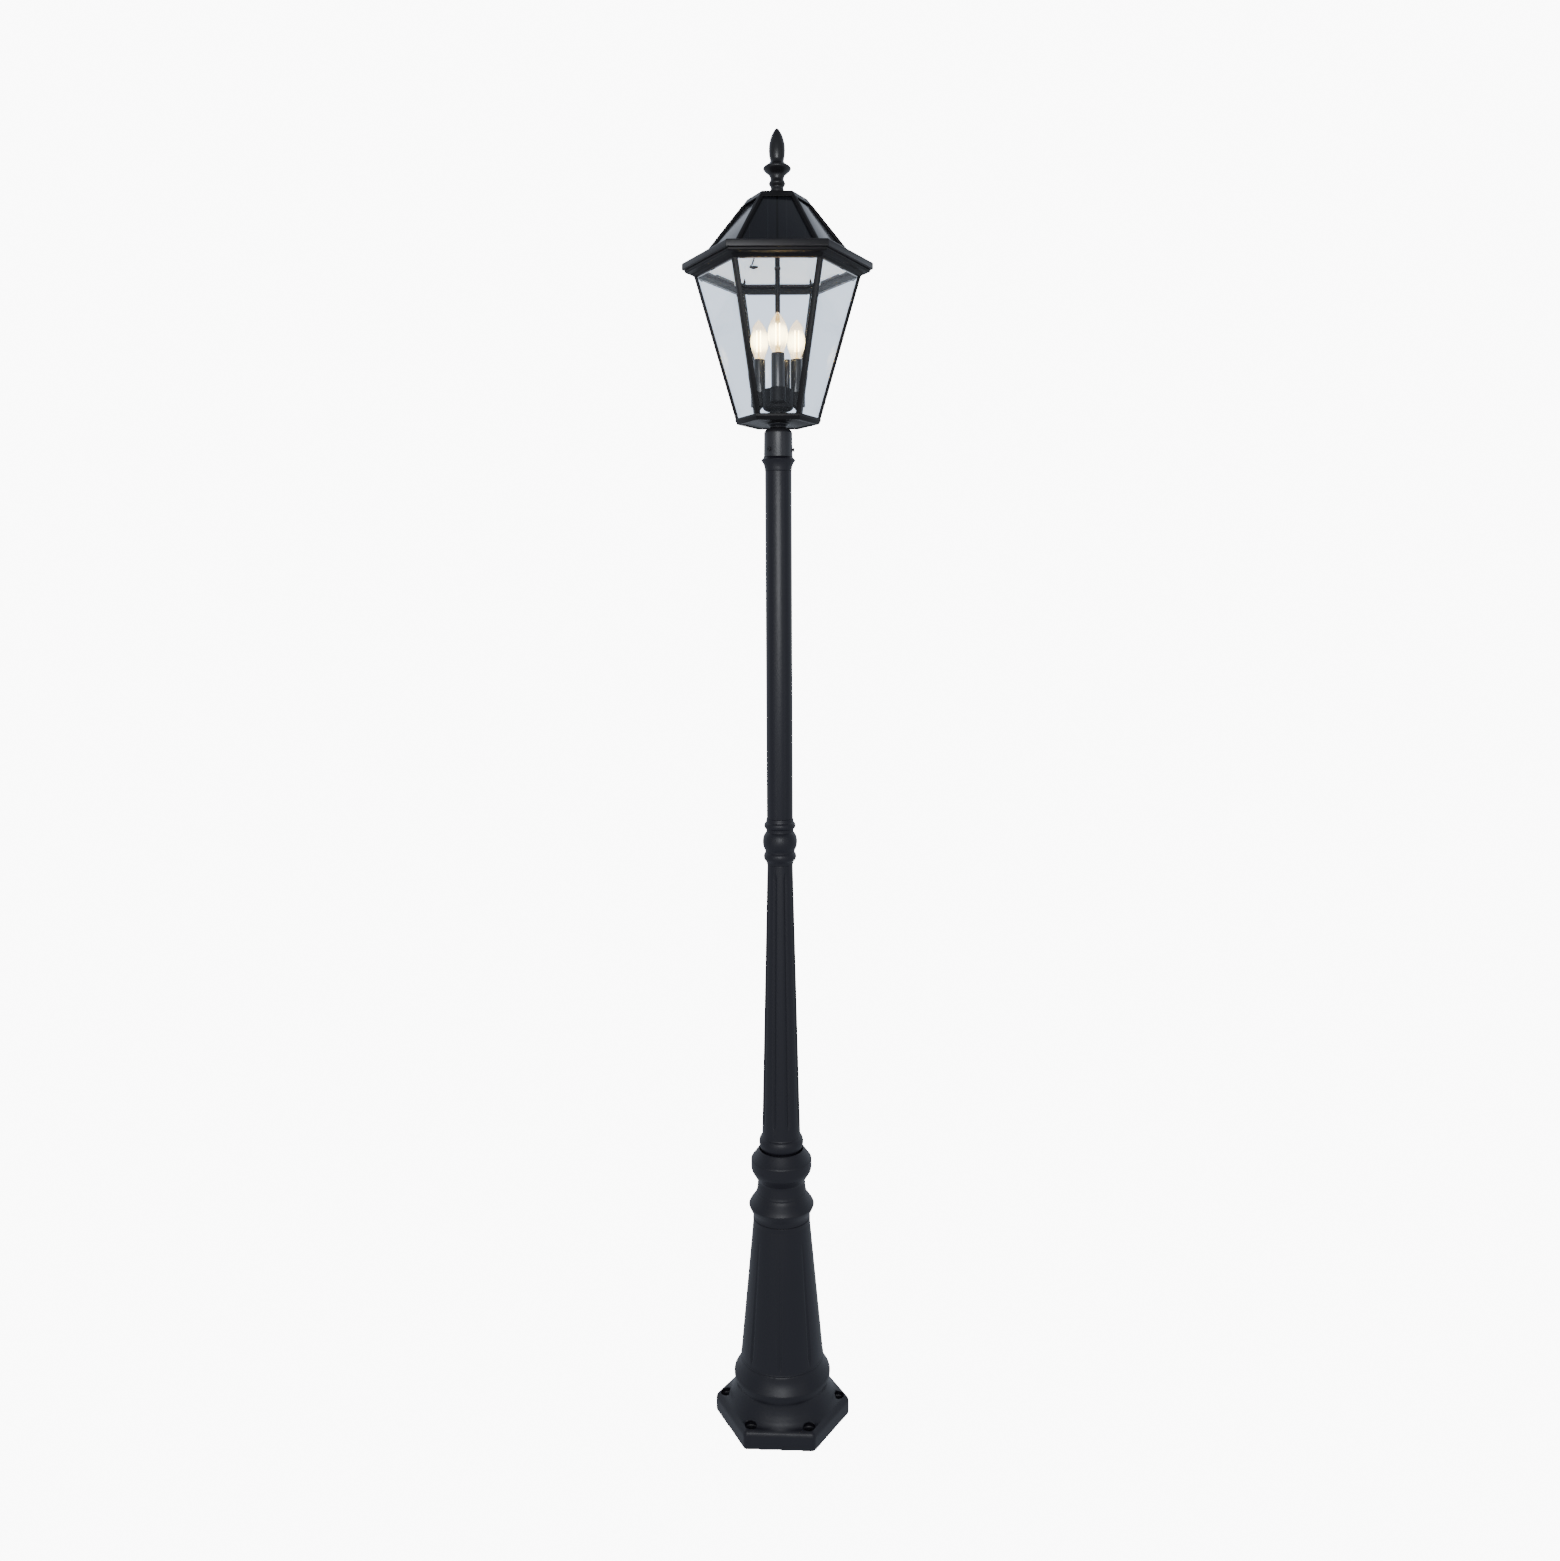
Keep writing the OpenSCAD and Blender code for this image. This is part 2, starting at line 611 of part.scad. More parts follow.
// The top collar: a flange on the tube and the tenon that the lantern turns on
module top_collar() {
    tube_r = tube_d / 2;
    ring_r = tenon_ring_d / 2;
    color("#26272a")
    difference() {
        union() {
            turned([[tube_r, z_flange], [tube_r + 0.8, z_flange + 7], [tube_r + 1.8, z_flange + 11],
                [tube_r + 3.4, z_flange + 15], [ring_r - 0.6, z_flange + tenon_flange_h - 6],
                [ring_r, z_flange + tenon_flange_h - 5], [ring_r - 0.4, z_tenon - 3.5],
                [cup_d / 2 + 0.6, z_tenon]]);
            translate([0, 0, z_flange - tenon_spigot_h])
                cylinder(r = tube_bore_r - fit, h = tenon_spigot_h + 1);
            translate([0, 0, z_tenon - 1]) cylinder(r = tenon_d / 2, h = tenon_h + 1);
        }
        translate([0, 0, z_flange - tenon_spigot_h - 1])
            cylinder(r = tenon_bore_r, h = tenon_spigot_h + tenon_flange_h + tenon_h + 2);
        translate([0, 0, z_tenon_top - cradle_seat]) cylinder(r = tenon_bore_r + 2.5, h = cradle_seat + 1);
    }
}

// The tie rod, from under the foot's web to above the knuckle's web
module tie_rod() {
    foot_web_z = z_shaft - web_t;
    color("#9a9c9f")
    translate([0, 0, foot_web_z - nut_h - 8])
        cylinder(d = tie_d, h = knuckle_web_z + web_t / 2 + nut_h + 8 - (foot_web_z - nut_h - 8));
}

// A nut under the foot's web and one above the knuckle's web
module tie_nuts() {
    color("#9a9c9f") {
        translate([0, 0, z_shaft - web_t - nut_h - fit]) hex_nut(nut_af, tie_d / 2 + fit, nut_h);
        translate([0, 0, knuckle_web_z + web_t / 2 + fit]) hex_nut(nut_af, tie_d / 2 + fit, nut_h);
    }
}

// The cradle: a closed sleeve for the battery that hangs in the tenon
module battery_cradle() {
    top = z_tenon_top - fit;
    depth = cells * cell_h + 8;
    color("#2f3033")
    difference() {
        union() {
            translate([0, 0, top - cradle_seat + 2 * fit]) cylinder(r = tenon_bore_r + 2.2, h = cradle_seat - 2 * fit);
            translate([0, 0, top - depth]) cylinder(r = cradle_r, h = depth);
        }
        translate([0, 0, top - depth + cradle_wall]) cylinder(r = cradle_r - cradle_wall, h = depth);
    }
}

// Three cells in line, each with its raised terminal
module battery_pack() {
    bottom = z_tenon_top - fit - (cells * cell_h + 8) + cradle_wall + fit;
    terminal_h = 1.2;
    color("#2f6db5")
    for (i = [0 : cells - 1])
        translate([0, 0, bottom + i * (cell_h + fit)]) {
            cylinder(d = cell_d, h = cell_h - terminal_h);
            translate([0, 0, cell_h - terminal_h]) cylinder(d = cell_d / 3, h = terminal_h);
        }
}

// The fitter: a cup that turns on the tenon, with a neck and hub under the lantern's floor
module fitter() {
    cup_r = cup_d / 2;
    neck_r = cup_neck_d / 2;
    cup_top = z_cup + cup_h;
    color("#232427")
    difference() {
        union() {
            turned(concat(
                [[cup_r + 0.4, z_cup], [cup_r, z_cup + 3], [cup_r - 0.6, cup_top - 12]],
                arc(cup_r - 8.6, cup_top - 9, 8, 8, 0, 60, 8),
                [[neck_r + 1, cup_top], [neck_r, cup_top + 1.6], [neck_r, cup_top + 3]],
                [[hub_d / 2 - 1, z_floor - 1.6], [hub_d / 2, z_floor]]));
            translate([0, 0, z_floor - 1]) cylinder(r = stub_r, h = floor_t + stub_h - 1);
        }
        translate([0, 0, z_cup - 1]) cylinder(r = tenon_d / 2 + turn_gap, h = cup_bore_h + 1);
        translate([0, 0, rod_foot_z]) cylinder(r = rod_r + 0.05, h = 60);
        for (a = screw_angles) rotate([0, 0, a]) translate([tenon_d / 2 - 2, 0, screw_z])
            rotate([0, 90, 0]) cylinder(r = screw_r + fit, h = cup_r);
    }
}

// Set screws with slotted round heads, tightened against the tenon
module set_screws() {
    head_r = screw_r * 1.5;
    color("#3a3b3e")
    for (a = screw_angles) rotate([0, 0, a]) translate([0, 0, screw_z]) rotate([0, 90, 0])
        difference() {
            union() {
                translate([0, 0, tenon_d / 2 + seat]) cylinder(r = screw_r, h = cup_d / 2 - tenon_d / 2 + 1);
                translate([0, 0, cup_d / 2 + 0.6]) cylinder(r = head_r, h = 2.4);
            }
            translate([-head_r - 1, -0.5, cup_d / 2 + 2]) cube([2 * head_r + 2, 1, 2]);
        }
}

// The lantern's floor, drilled for the hub's stub and the mode button
module lantern_floor() {
    color("#26272a")
    difference() {
        translate([0, 0, z_floor]) cylinder(r = floor_w / 2 - floor_gap, h = floor_t, $fn = 6);
        translate([0, 0, z_floor - 1]) cylinder(r = stub_r + fit, h = floor_t + 2);
        translate([0, button_reach, z_floor - 1]) cylinder(r = button_d / 2 + seat, h = floor_t + 2);
    }
}

// The cage's bottom ring, with a ledge inside that carries the floor
module bottom_ring() {
    inner = floor_w / 2;
    outer = cage_bottom_w / 2;
    color("#26272a")
    hex_ring([[inner - ledge, z_cage], [outer - 1, z_cage], [outer, z_cage + 1],
        [outer + 1.8, z_cage + bottom_ring_h * 0.45], [post_bottom_w / 2 + 0.6, z_cage + bottom_ring_h * 0.6],
        [post_bottom_w / 2 + 0.6, z_post], [inner, z_post], [inner, z_floor],
        [inner - ledge, z_floor]]);
}

// One V-shaped corner post
module corner_post(i) {
    d = [-0.5, sin(60)];
    n = [-sin(60), -0.5];
    e = post_flange * d;
    f = e + post_t * n;
    color("#26272a")
    corner_bar(corner_angles[i - 1], post_bottom_w / 2, z_post, post_top_w / 2, z_top_ring,
        [[0.6, 0], e, f, [-post_t / sin(60), 0], [f[0], -f[1]], [e[0], -e[1]]]);
}

// One trapezoid of clear glass behind the posts' flanges
module pane(i) {
    gap = 0.5;
    color("#cfd8e2", 0.3)
    intersection() {
        side_plate(side_angles[i - 1], post_bottom_w / 2, z_post, post_top_w / 2, z_top_ring,
            glass_t, post_t + gap, 3.5);
        slice(z_post + gap, z_top_ring - gap);
    }
}

// The cage's top ring, moulded under the eave
module top_ring() {
    post_r = post_top_w / 2;
    outer = top_ring_r;
    top = z_top_ring + top_ring_h;
    inner = post_r - 7;
    color("#26272a")
    hex_ring([[inner, z_top_ring], [post_r + 1, z_top_ring], [post_r + 2.5, z_top_ring + 2],
        [outer - 11, z_top_ring + top_ring_h * 0.45], [outer - 2, z_top_ring + top_ring_h * 0.6],
        [outer, z_top_ring + top_ring_h * 0.75], [outer, top], [inner, top]]);
}

// The hollow centre rod that ties the cap down to the fitter
module centre_rod() {
    color("#2b2c2f")
    translate([0, 0, rod_foot_z]) pipe(rod_r, rod_r * 0.5, rod_top_z - rod_foot_z);
}

// The nut that clamps the cluster, and the small collar near the top of the rod
module rod_nuts() {
    collar_z = z_top_ring + top_ring_h + 1;
    color("#2b2c2f") {
        translate([0, 0, cavity_z + fit]) hex_nut(rod_nut_af, rod_r + 0.05, rod_nut_h);
        translate([0, 0, collar_z]) pipe(rod_r + 1.3, rod_r + 0.05, 4);
    }
}

// The cluster body: a bowl with a lobe under each candle
module cluster_body() {
    bowl_r = cluster_d / 2;
    stem_r = 15.3;
    bowl_z = z_cluster_top - 38;
    color("#2b2c2f")
    difference() {
        union() {
            turned(concat(
                [[stem_r + 5, z_inside], [stem_r + 4.4, z_inside + 2], [stem_r + 0.6, z_inside + 5]],
                [[stem_r, z_inside + 8], [stem_r, bowl_z]],
                arc(stem_r, bowl_z + 10, bowl_r - stem_r, 10, -80, 0, 8),
                [[bowl_r, z_cluster_top]]));
            for (a = candle_angles) rotate([0, 0, a]) translate([candle_reach, 0, 0])
                turned([[lobe_r - 2, z_cluster_top - lobe_h], [lobe_r, z_cluster_top - lobe_h + 2],
                    [lobe_r, z_cluster_top]]);
        }
        // Room for the hub's stub and the rod, and the cavity for the board
        translate([0, 0, z_floor]) cylinder(r = stub_r + 0.6, h = floor_t + stub_h);
        translate([0, 0, z_floor]) cylinder(r = rod_hole_r, h = cluster_h + 1);
        translate([0, 0, cavity_z]) cylinder(r = cavity_r - board_ledge, h = 40);
        translate([0, 0, board_z]) cylinder(r = cavity_r, h = 40);
        for (a = candle_angles) rotate([0, 0, a]) translate([candle_reach, 0, z_candle])
            cylinder(r = sleeve_d / 2 + fit, h = 20);
    }
}

// The lid on the cluster's cavity
module cluster_cover() {
    cover_r = candle_reach - sleeve_d / 2 - 0.6;
    color("#2b2c2f")
    translate([0, 0, z_cluster_top]) pipe(cover_r, rod_hole_r, cover_t);
}

// The candle sleeves
module candle_sleeves() {
    color("#3b3c40")
    for (a = candle_angles) rotate([0, 0, a])
        translate([candle_reach, 0, z_candle]) pipe(sleeve_d / 2, sleeve_d / 2 - sleeve_wall, sleeve_h);
}

// The tube that brings the lamps' wires up between the sleeves
module wire_tube() {
    color("#3b3c40")
    rotate([0, 0, wire_tube_angle])
        translate([wire_tube_reach, 0, z_cluster_top + cover_t])
            pipe(wire_tube_d / 2, wire_tube_d / 2 - wire_tube_wall, wire_tube_h);
}

// The lampholders inside the sleeves
module lampholders() {
    h = sleeve_h - 1.5;
    color("#d8d5cc")
    for (a = candle_angles) rotate([0, 0, a]) translate([candle_reach, 0, z_candle])
        difference() {
            cylinder(r = holder_r, h = h);
            translate([0, 0, sleeve_h - bulb_cap_h - seat])
                cylinder(r = bulb_cap_d / 2 + holder_gap, h = bulb_cap_h + 1);
        }
}

// The charge and lamp control board, on the ledge in the cluster
module control_board() {
    color("#2d6b3f")
    translate([0, 0, board_z]) difference() {
        union() {
            cylinder(r = cavity_r - fit, h = board_t);
            translate([8, -5, board_t - 0.2]) cube([7, 9, 5]);
            translate([-16, -4, board_t - 0.2]) cube([6, 8, 7]);
            translate([0, 13, board_t - 0.2]) cylinder(r = 3.2, h = 9);
            translate([0, -13, board_t - 0.2]) cylinder(r = 3.2, h = 9);
        }
        translate([0, 0, -1]) cylinder(r = rod_hole_r + 1.5, h = 20);
    }
}

// The switch behind the mode button, on top of the floor
module switch_body() {
    color("#1c1c1e")
    difference() {
        translate([-switch_w / 2, button_reach - switch_w / 2, z_inside]) cube([switch_w, switch_w, switch_h]);
        translate([0, button_reach, z_inside - 1])
            cylinder(r = button_flange_r + 0.4, h = 1 + button_top + button_travel + seat);
    }
}

// The mode button, held above the lantern's floor by its flange and pressed from below
module mode_button() {
    proud = 3;
    r = button_d / 2;
    color("#1a1a1b")
    translate([0, button_reach, 0])
        turned([[r - 0.8, z_floor - proud], [r, z_floor - proud + 0.8], [r, z_inside + seat],
            [button_flange_r, z_inside + seat], [button_flange_r, z_inside + 1.5],
            [r, z_inside + 1.5], [r, z_inside + button_top]]);
}

// Outline of a torpedo bulb's glass at a given shrink, from its collar to its tip
function bulb_profile(shrink) = let (r = bulb_d / 2 - shrink, h = bulb_h - shrink)
    [[bulb_cap_d / 2 - shrink, shrink], [r * 0.56, h * 0.03], [r * 0.76, h * 0.16], [r * 0.93, h * 0.3],
        [r, h * 0.42], [r * 0.98, h * 0.54], [r * 0.87, h * 0.66], [r * 0.68, h * 0.78],
        [r * 0.44, h * 0.88], [r * 0.22, h * 0.95], [r * 0.1, h * 0.985], [0.4, h]];

module at_candle(i) {
    rotate([0, 0, candle_angles[i - 1]]) translate([candle_reach, 0, z_candle_top]) children();
}

// One bulb's hollow glass, which sits on its cap
module bulb_glass(i) {
    color("#fff2d8", 0.4)
    at_candle(i) difference() {
        turned(bulb_profile(0));
        turned(bulb_profile(0.9));
        translate([0, 0, -1]) cylinder(r = bulb_cap_d / 2 - 1.4, h = 3);
    }
}

// One bulb's screw cap with its contact
module bulb_cap(i) {
    color("#b9a06a")
    at_candle(i) translate([0, 0, -bulb_cap_h]) {
        turned([[3, 0], [3, 2], [5, 3.5], [bulb_cap_d / 2, 6], [bulb_cap_d / 2, bulb_cap_h]]);
    }
}

// One bulb's glass stem with its upright filaments
module filament(i) {
    color("#ffd98a")
    at_candle(i) {
        cylinder(r = 4.2, h = 2);
        cylinder(r = 1.4, h = bulb_h * 0.72);
        for (k = [0 : 3]) rotate([0, 0, 45 + k * 90]) {
            translate([4.6, 0, bulb_h * 0.24]) cylinder(r = 0.8, h = bulb_h * 0.46);
            translate([0, -0.5, bulb_h * 0.24]) cube([4.6, 1, 1]);
            translate([0, -0.5, bulb_h * 0.68]) cube([4.6, 1, 1]);
        }
    }
}

// The eave: the roof's moulded lower ring
module roof_eave() {
    outer = eave_r;
    face_top = z_roof + eave_face_h;
    inner = roof_bottom_r - 6.5;
    flat_r = roof_bottom_r + 9;
    wall_gap = 0.5;
    color("#26272a")
    hex_ring([[inner, z_roof], [outer - 2, z_roof], [outer - 0.6, z_roof + 0.4], [outer, z_roof + 1.2],
        [outer, face_top - 1.6], [outer - 1.6, face_top], [flat_r, z_panel],
        [roof_bottom_r - panel_shift + wall_gap, z_panel], [rest_r - panel_shift + wall_gap, z_rest],
        [inner, z_rest]]);
}

// Six ribs of T section that lap over the edges of the panels
module roof_hips() {
    half = rib_w / 2;
    under = seat - rib_up / hip_cos - hip_fall * half;
    root = seat - rib_up / hip_cos - hip_fall * rib_stem;
    color("#26272a")
    for (a = corner_angles)
        corner_bar(a, roof_bottom_r, z_panel, roof_top_w / 2, z_cap - seat,
            [[-9, -rib_stem], [root, -rib_stem], [under, -half], [-1.4, -half], [0.6, -half + 2.6],
            [0.6, half - 2.6], [-1.4, half], [under, half], [root, rib_stem], [-9, rib_stem]]);
}

// The roof's cap: a six-sided lid with a bevelled skirt
module roof_cap() {
    edge_r = roof_top_w / 2;
    top_r = cap_top_w / 2;
    hub_r = 14;
    hole_r = rod_hole_r + 0.3;
    color("#26272a")
    difference() {
        hex_ring([[0, z_cap], [edge_r, z_cap], [edge_r, z_cap + 1], [edge_r - 2, z_cap + 3],
            [top_r + 0.5, z_cap + cap_h * 0.57], [top_r - 1.5, z_cap + cap_h * 0.62],
            [hub_r + 2, z_cap_top - 1.6], [hub_r, z_cap_top], [0, z_cap_top]]);
        translate([0, 0, z_cap - 1]) cylinder(r = hole_r, h = cap_h + 2);
    }
}

// One solar panel: cells and backing in one laminate between two ribs
module solar_panel(i) {
    gap = 0.4;
    edge = (rib_stem + gap + (rib_up + panel_t) * sin(30) * cos(panel_lean)) / hex_flat;
    color("#15171c")
    intersection() {
        side_plate(side_angles[i - 1], rest_r, z_rest, roof_top_w / 2, z_cap - seat,
            panel_t, rib_up, edge);
        slice(z_rest + gap, z_cap - seat - gap);
    }
}

// Places a piece on the backing of the rear panel: sideways, up the slope and out from the face
module on_backing(side, up, out) {
    rotate([0, 0, 90])
        translate([roof_bottom_r * hex_flat, 0, z_panel])
            rotate([0, -panel_lean, 0])
                translate([-panel_t - rib_up - out, side, up]) children();
}

// The sealed outlet on the rear panel's backing, and its lead along the hip to the cap
module panel_lead() {
    slope = norm([roof_run * hex_flat, roof_rise]);
    boot = roof_bottom_r * 0.313;
    boot_up = 28;
    lead_r = lead_d / 2;
    rest = lead_r + seat;
    top_side = roof_top_w / 4 - 8;
    color("#1c1c1e")
    union() {
        hull()
            for (x = [-6.8, 0, 6.8])
                on_backing(boot + x, boot_up, seat + (x == 0 ? 3.2 : 1.8))
                    sphere(r = x == 0 ? 3.2 : 1.8, $fn = 16);
        hull() {
            on_backing(boot + 6, boot_up, rest) sphere(r = lead_r, $fn = 12);
            on_backing(boot + 3, boot_up + 10, rest) sphere(r = lead_r, $fn = 12);
        }
        hull() {
            on_backing(boot + 3, boot_up + 10, rest) sphere(r = lead_r, $fn = 12);
            on_backing(top_side, slope - 8, rest + 1) sphere(r = lead_r, $fn = 12);
        }
        hull() {
            on_backing(top_side, slope - 8, rest + 1) sphere(r = lead_r, $fn = 12);
            translate([-8, 8, z_cap - rest - 2]) sphere(r = lead_r, $fn = 12);
        }
    }
}

// The washer between the cap and the finial
module finial_washer() {
    color("#3a3b3e")
    translate([0, 0, z_cap_top + fit]) pipe(11, rod_hole_r, washer_h);
}

// The finial: a turned foot with a disc, and a spear, bored for the rod
module finial() {
    disc_r = finial_disc_d / 2;
    r = spear_d / 2;
    f = finial_foot_h;
    z = z_finial;
    color("#232427")
    difference() {
        turned(concat(
            [[12, z], [12, z + f * 0.1], [11.2, z + f * 0.16]],
            [[13.4, z + f * 0.23], [14.7, z + f * 0.28], [13.7, z + f * 0.33]],
            [[12, z + f * 0.4], [12.4, z + f * 0.46], [13.8, z + f * 0.53], [16.4, z + f * 0.58]],
            [[disc_r - 3.5, z + f * 0.65], [disc_r, z + f * 0.72], [disc_r - 0.6, z + f * 0.77]],
            [[disc_r - 4.2, z + f * 0.82], [15, z + f * 0.88], [12.6, z + f * 0.95], [12.3, z + f]],
            [[r * 0.91, z + f + spear_h * 0.07], [r * 0.96, z + f + spear_h * 0.13]],
            [[r, z + f + spear_h * 0.29], [r * 0.97, z + f + spear_h * 0.46]],
            [[r * 0.89, z + f + spear_h * 0.57], [r * 0.77, z + f + spear_h * 0.69]],
            [[r * 0.6, z + f + spear_h * 0.8], [r * 0.4, z + f + spear_h * 0.89]],
            [[r * 0.22, z + f + spear_h * 0.96], [r * 0.05, z + f + spear_h]]));
        translate([0, 0, z - 1]) cylinder(r = rod_r + turn_gap, h = rod_top_z - z + 2);
    }
}

foot();
base_shaft();
bowl_collar();
column();
knuckle();
upper_tube();
top_collar();
tie_rod();
tie_nuts();
tube_screws();
battery_cradle();
battery_pack();
fitter();
set_screws();
lantern_floor();
bottom_ring();
corner_post(1);  // corner_post_1
corner_post(2);  // corner_post_2
corner_post(3);  // corner_post_3
corner_post(4);  // corner_post_4
corner_post(5);  // corner_post_5
corner_post(6);  // corner_post_6
pane(1);  // pane_1
pane(2);  // pane_2
pane(3);  // pane_3
pane(4);  // pane_4
pane(5);  // pane_5
pane(6);  // pane_6
top_ring();
centre_rod();
rod_nuts();
cluster_body();
cluster_cover();
candle_sleeves();
wire_tube();
lampholders();
control_board();
switch_body();
mode_button();
bulb_glass(1);  // bulb_glass_1
bulb_glass(2);  // bulb_glass_2
bulb_glass(3);  // bulb_glass_3
bulb_cap(1);  // bulb_cap_1
bulb_cap(2);  // bulb_cap_2
bulb_cap(3);  // bulb_cap_3
filament(1);  // filament_1
filament(2);  // filament_2
filament(3);  // filament_3
roof_eave();
roof_hips();
roof_cap();
solar_panel(1);  // solar_panel_1
solar_panel(2);  // solar_panel_2
solar_panel(3);  // solar_panel_3
solar_panel(4);  // solar_panel_4
solar_panel(5);  // solar_panel_5
solar_panel(6);  // solar_panel_6
panel_lead();
finial_washer();
finial();
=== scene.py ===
import json
import math

import bmesh
import bpy
from mathutils import Matrix, Vector


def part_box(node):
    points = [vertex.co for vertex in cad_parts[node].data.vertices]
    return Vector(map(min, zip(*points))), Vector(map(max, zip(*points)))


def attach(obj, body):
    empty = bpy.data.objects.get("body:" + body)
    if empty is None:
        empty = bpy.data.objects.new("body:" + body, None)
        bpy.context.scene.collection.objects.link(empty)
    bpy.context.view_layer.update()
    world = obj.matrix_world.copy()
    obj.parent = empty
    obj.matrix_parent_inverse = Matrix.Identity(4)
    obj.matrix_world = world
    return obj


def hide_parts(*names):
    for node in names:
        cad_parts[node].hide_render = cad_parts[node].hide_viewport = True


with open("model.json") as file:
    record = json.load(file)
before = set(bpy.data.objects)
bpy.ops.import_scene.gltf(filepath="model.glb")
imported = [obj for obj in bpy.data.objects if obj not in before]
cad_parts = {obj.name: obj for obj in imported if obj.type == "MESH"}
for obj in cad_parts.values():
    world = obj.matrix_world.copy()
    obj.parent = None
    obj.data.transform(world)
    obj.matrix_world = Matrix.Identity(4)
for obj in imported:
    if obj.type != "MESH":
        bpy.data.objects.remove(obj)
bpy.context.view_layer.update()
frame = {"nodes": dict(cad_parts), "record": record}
NODES = frame["nodes"]
SLOT_OF = {row["node"]: row["material_slot"] for row in frame["record"]["subparts"]}
scene = bpy.context.scene
MM = 0.001

# Sides of the lantern, flutes of each shaft and turn of the base's flutes
SIX = 6
FLUTES = 8
FOOT_TURN = math.radians(-3)


def bottom(node):
    """Height of a CAD node's lower end in millimetres."""
    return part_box(node)[0][2] / MM


def top(node):
    """Height of a CAD node's upper end in millimetres."""
    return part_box(node)[1][2] / MM


def radius(node):
    """Reach of a CAD node's box along X in millimetres."""
    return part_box(node)[1][0] / MM


def numbered(stem):
    """The names of six nodes that repeat round the lantern."""
    return ["%s_%d" % (stem, i) for i in range(1, SIX + 1)]


# Camera: the lens, height and tilt come from fitting the post's known outline to the photograph
CAMERA_DISTANCE = 2.2
CAMERA_HEIGHT = 1.531
CAMERA_TILT = 0.07
CAMERA_ROLL = -0.0044
CAMERA_LENS = 28.0
CAMERA_SENSOR = 36.0
CAMERA_SHIFT = (0.00046, -0.06056)


def make_camera():
    data = bpy.data.cameras.new("camera")
    camera = bpy.data.objects.new("camera", data)
    scene.collection.objects.link(camera)
    data.lens = CAMERA_LENS
    data.sensor_width = CAMERA_SENSOR
    data.shift_x, data.shift_y = CAMERA_SHIFT
    data.clip_start = 0.05
    data.clip_end = 60.0
    data.dof.use_dof = False
    camera.matrix_world = (Matrix.Translation((0.0, -CAMERA_DISTANCE, CAMERA_HEIGHT))
                           @ Matrix.Rotation(math.radians(90) - CAMERA_TILT, 4, "X")
                           @ Matrix.Rotation(CAMERA_ROLL, 4, "Z"))
    scene.camera = camera


# Light: a white studio. The backdrop is brighter to the camera than to the surfaces it lights,
# and what the surfaces see is dim in front, brighter behind and brightest in a band high behind.
# Seen through glass the studio is one even level, from every side.
BACKDROP_STRENGTH = 10.0
FRONT_LIGHT = 0.5
REAR_LIGHT = 0.98
CROWN_LIGHT = 1.1
ZENITH_LIGHT = 0.3
GROUND_LIGHT = 0.75
FLOOR_LIGHT = 0.6
THROUGH_LIGHT = 1.75
STUDIO_COLOR = (0.85, 0.93, 1.06, 1)
FLOOR_SIZE = 12.0
FLOOR_DROP = 0.0005

# Each softbox: name, place, the point it looks at, width and height, watts, colour
SOFTBOXES = (
    ("front softbox", (-0.1, -3.4, 2.05), (0, 0, 1.6), (1.9, 1.1), 72, (0.95, 0.97, 1.0)),
    ("left softbox", (-1.9, -2.9, 1.6), (0, 0, 1.2), (0.5, 3.0), 9, (1, 1, 1)),
    ("right softbox", (2.6, -2.4, 1.6), (0, 0, 1.2), (0.5, 3.0), 5, (1, 1, 1)),
)

# The lamp over each bulb: watts, colour, radius and height above the glass
BULB_WATTS = 0.05
BULB_COLOR = (1.0, 0.58, 0.22)
BULB_SOURCE = 0.006
BULB_RISE = 0.008


def ramp(tree, value, low, high, first, last):
    """A value eased from one level to another between two bounds."""
    node = tree.nodes.new("ShaderNodeMapRange")
    node.interpolation_type = "SMOOTHSTEP"
    tree.links.new(value, node.inputs["Value"])
    for label, level in (("From Min", low), ("From Max", high), ("To Min", first), ("To Max", last)):
        if isinstance(level, (int, float)):
            node.inputs[label].default_value = level
        else:
            tree.links.new(level, node.inputs[label])
    return node.outputs["Result"]


def studio_light(tree):
    """Strength of the studio by direction."""
    _, depth, height = axes(tree, tree.nodes.new("ShaderNodeTexCoord").outputs["Generated"])
    level = ramp(tree, depth, -0.3, 0.6, FRONT_LIGHT, REAR_LIGHT)
    high_behind = math_node(tree, "ADD", math_node(tree, "MULTIPLY", depth, 0.8),
                            math_node(tree, "MULTIPLY", height, 0.6))
    level = ramp(tree, high_behind, 0.7, 0.86, level, CROWN_LIGHT)
    level = ramp(tree, height, 0.72, 0.92, level, ZENITH_LIGHT)
    return ramp(tree, height, -0.02, -0.3, level, GROUND_LIGHT)


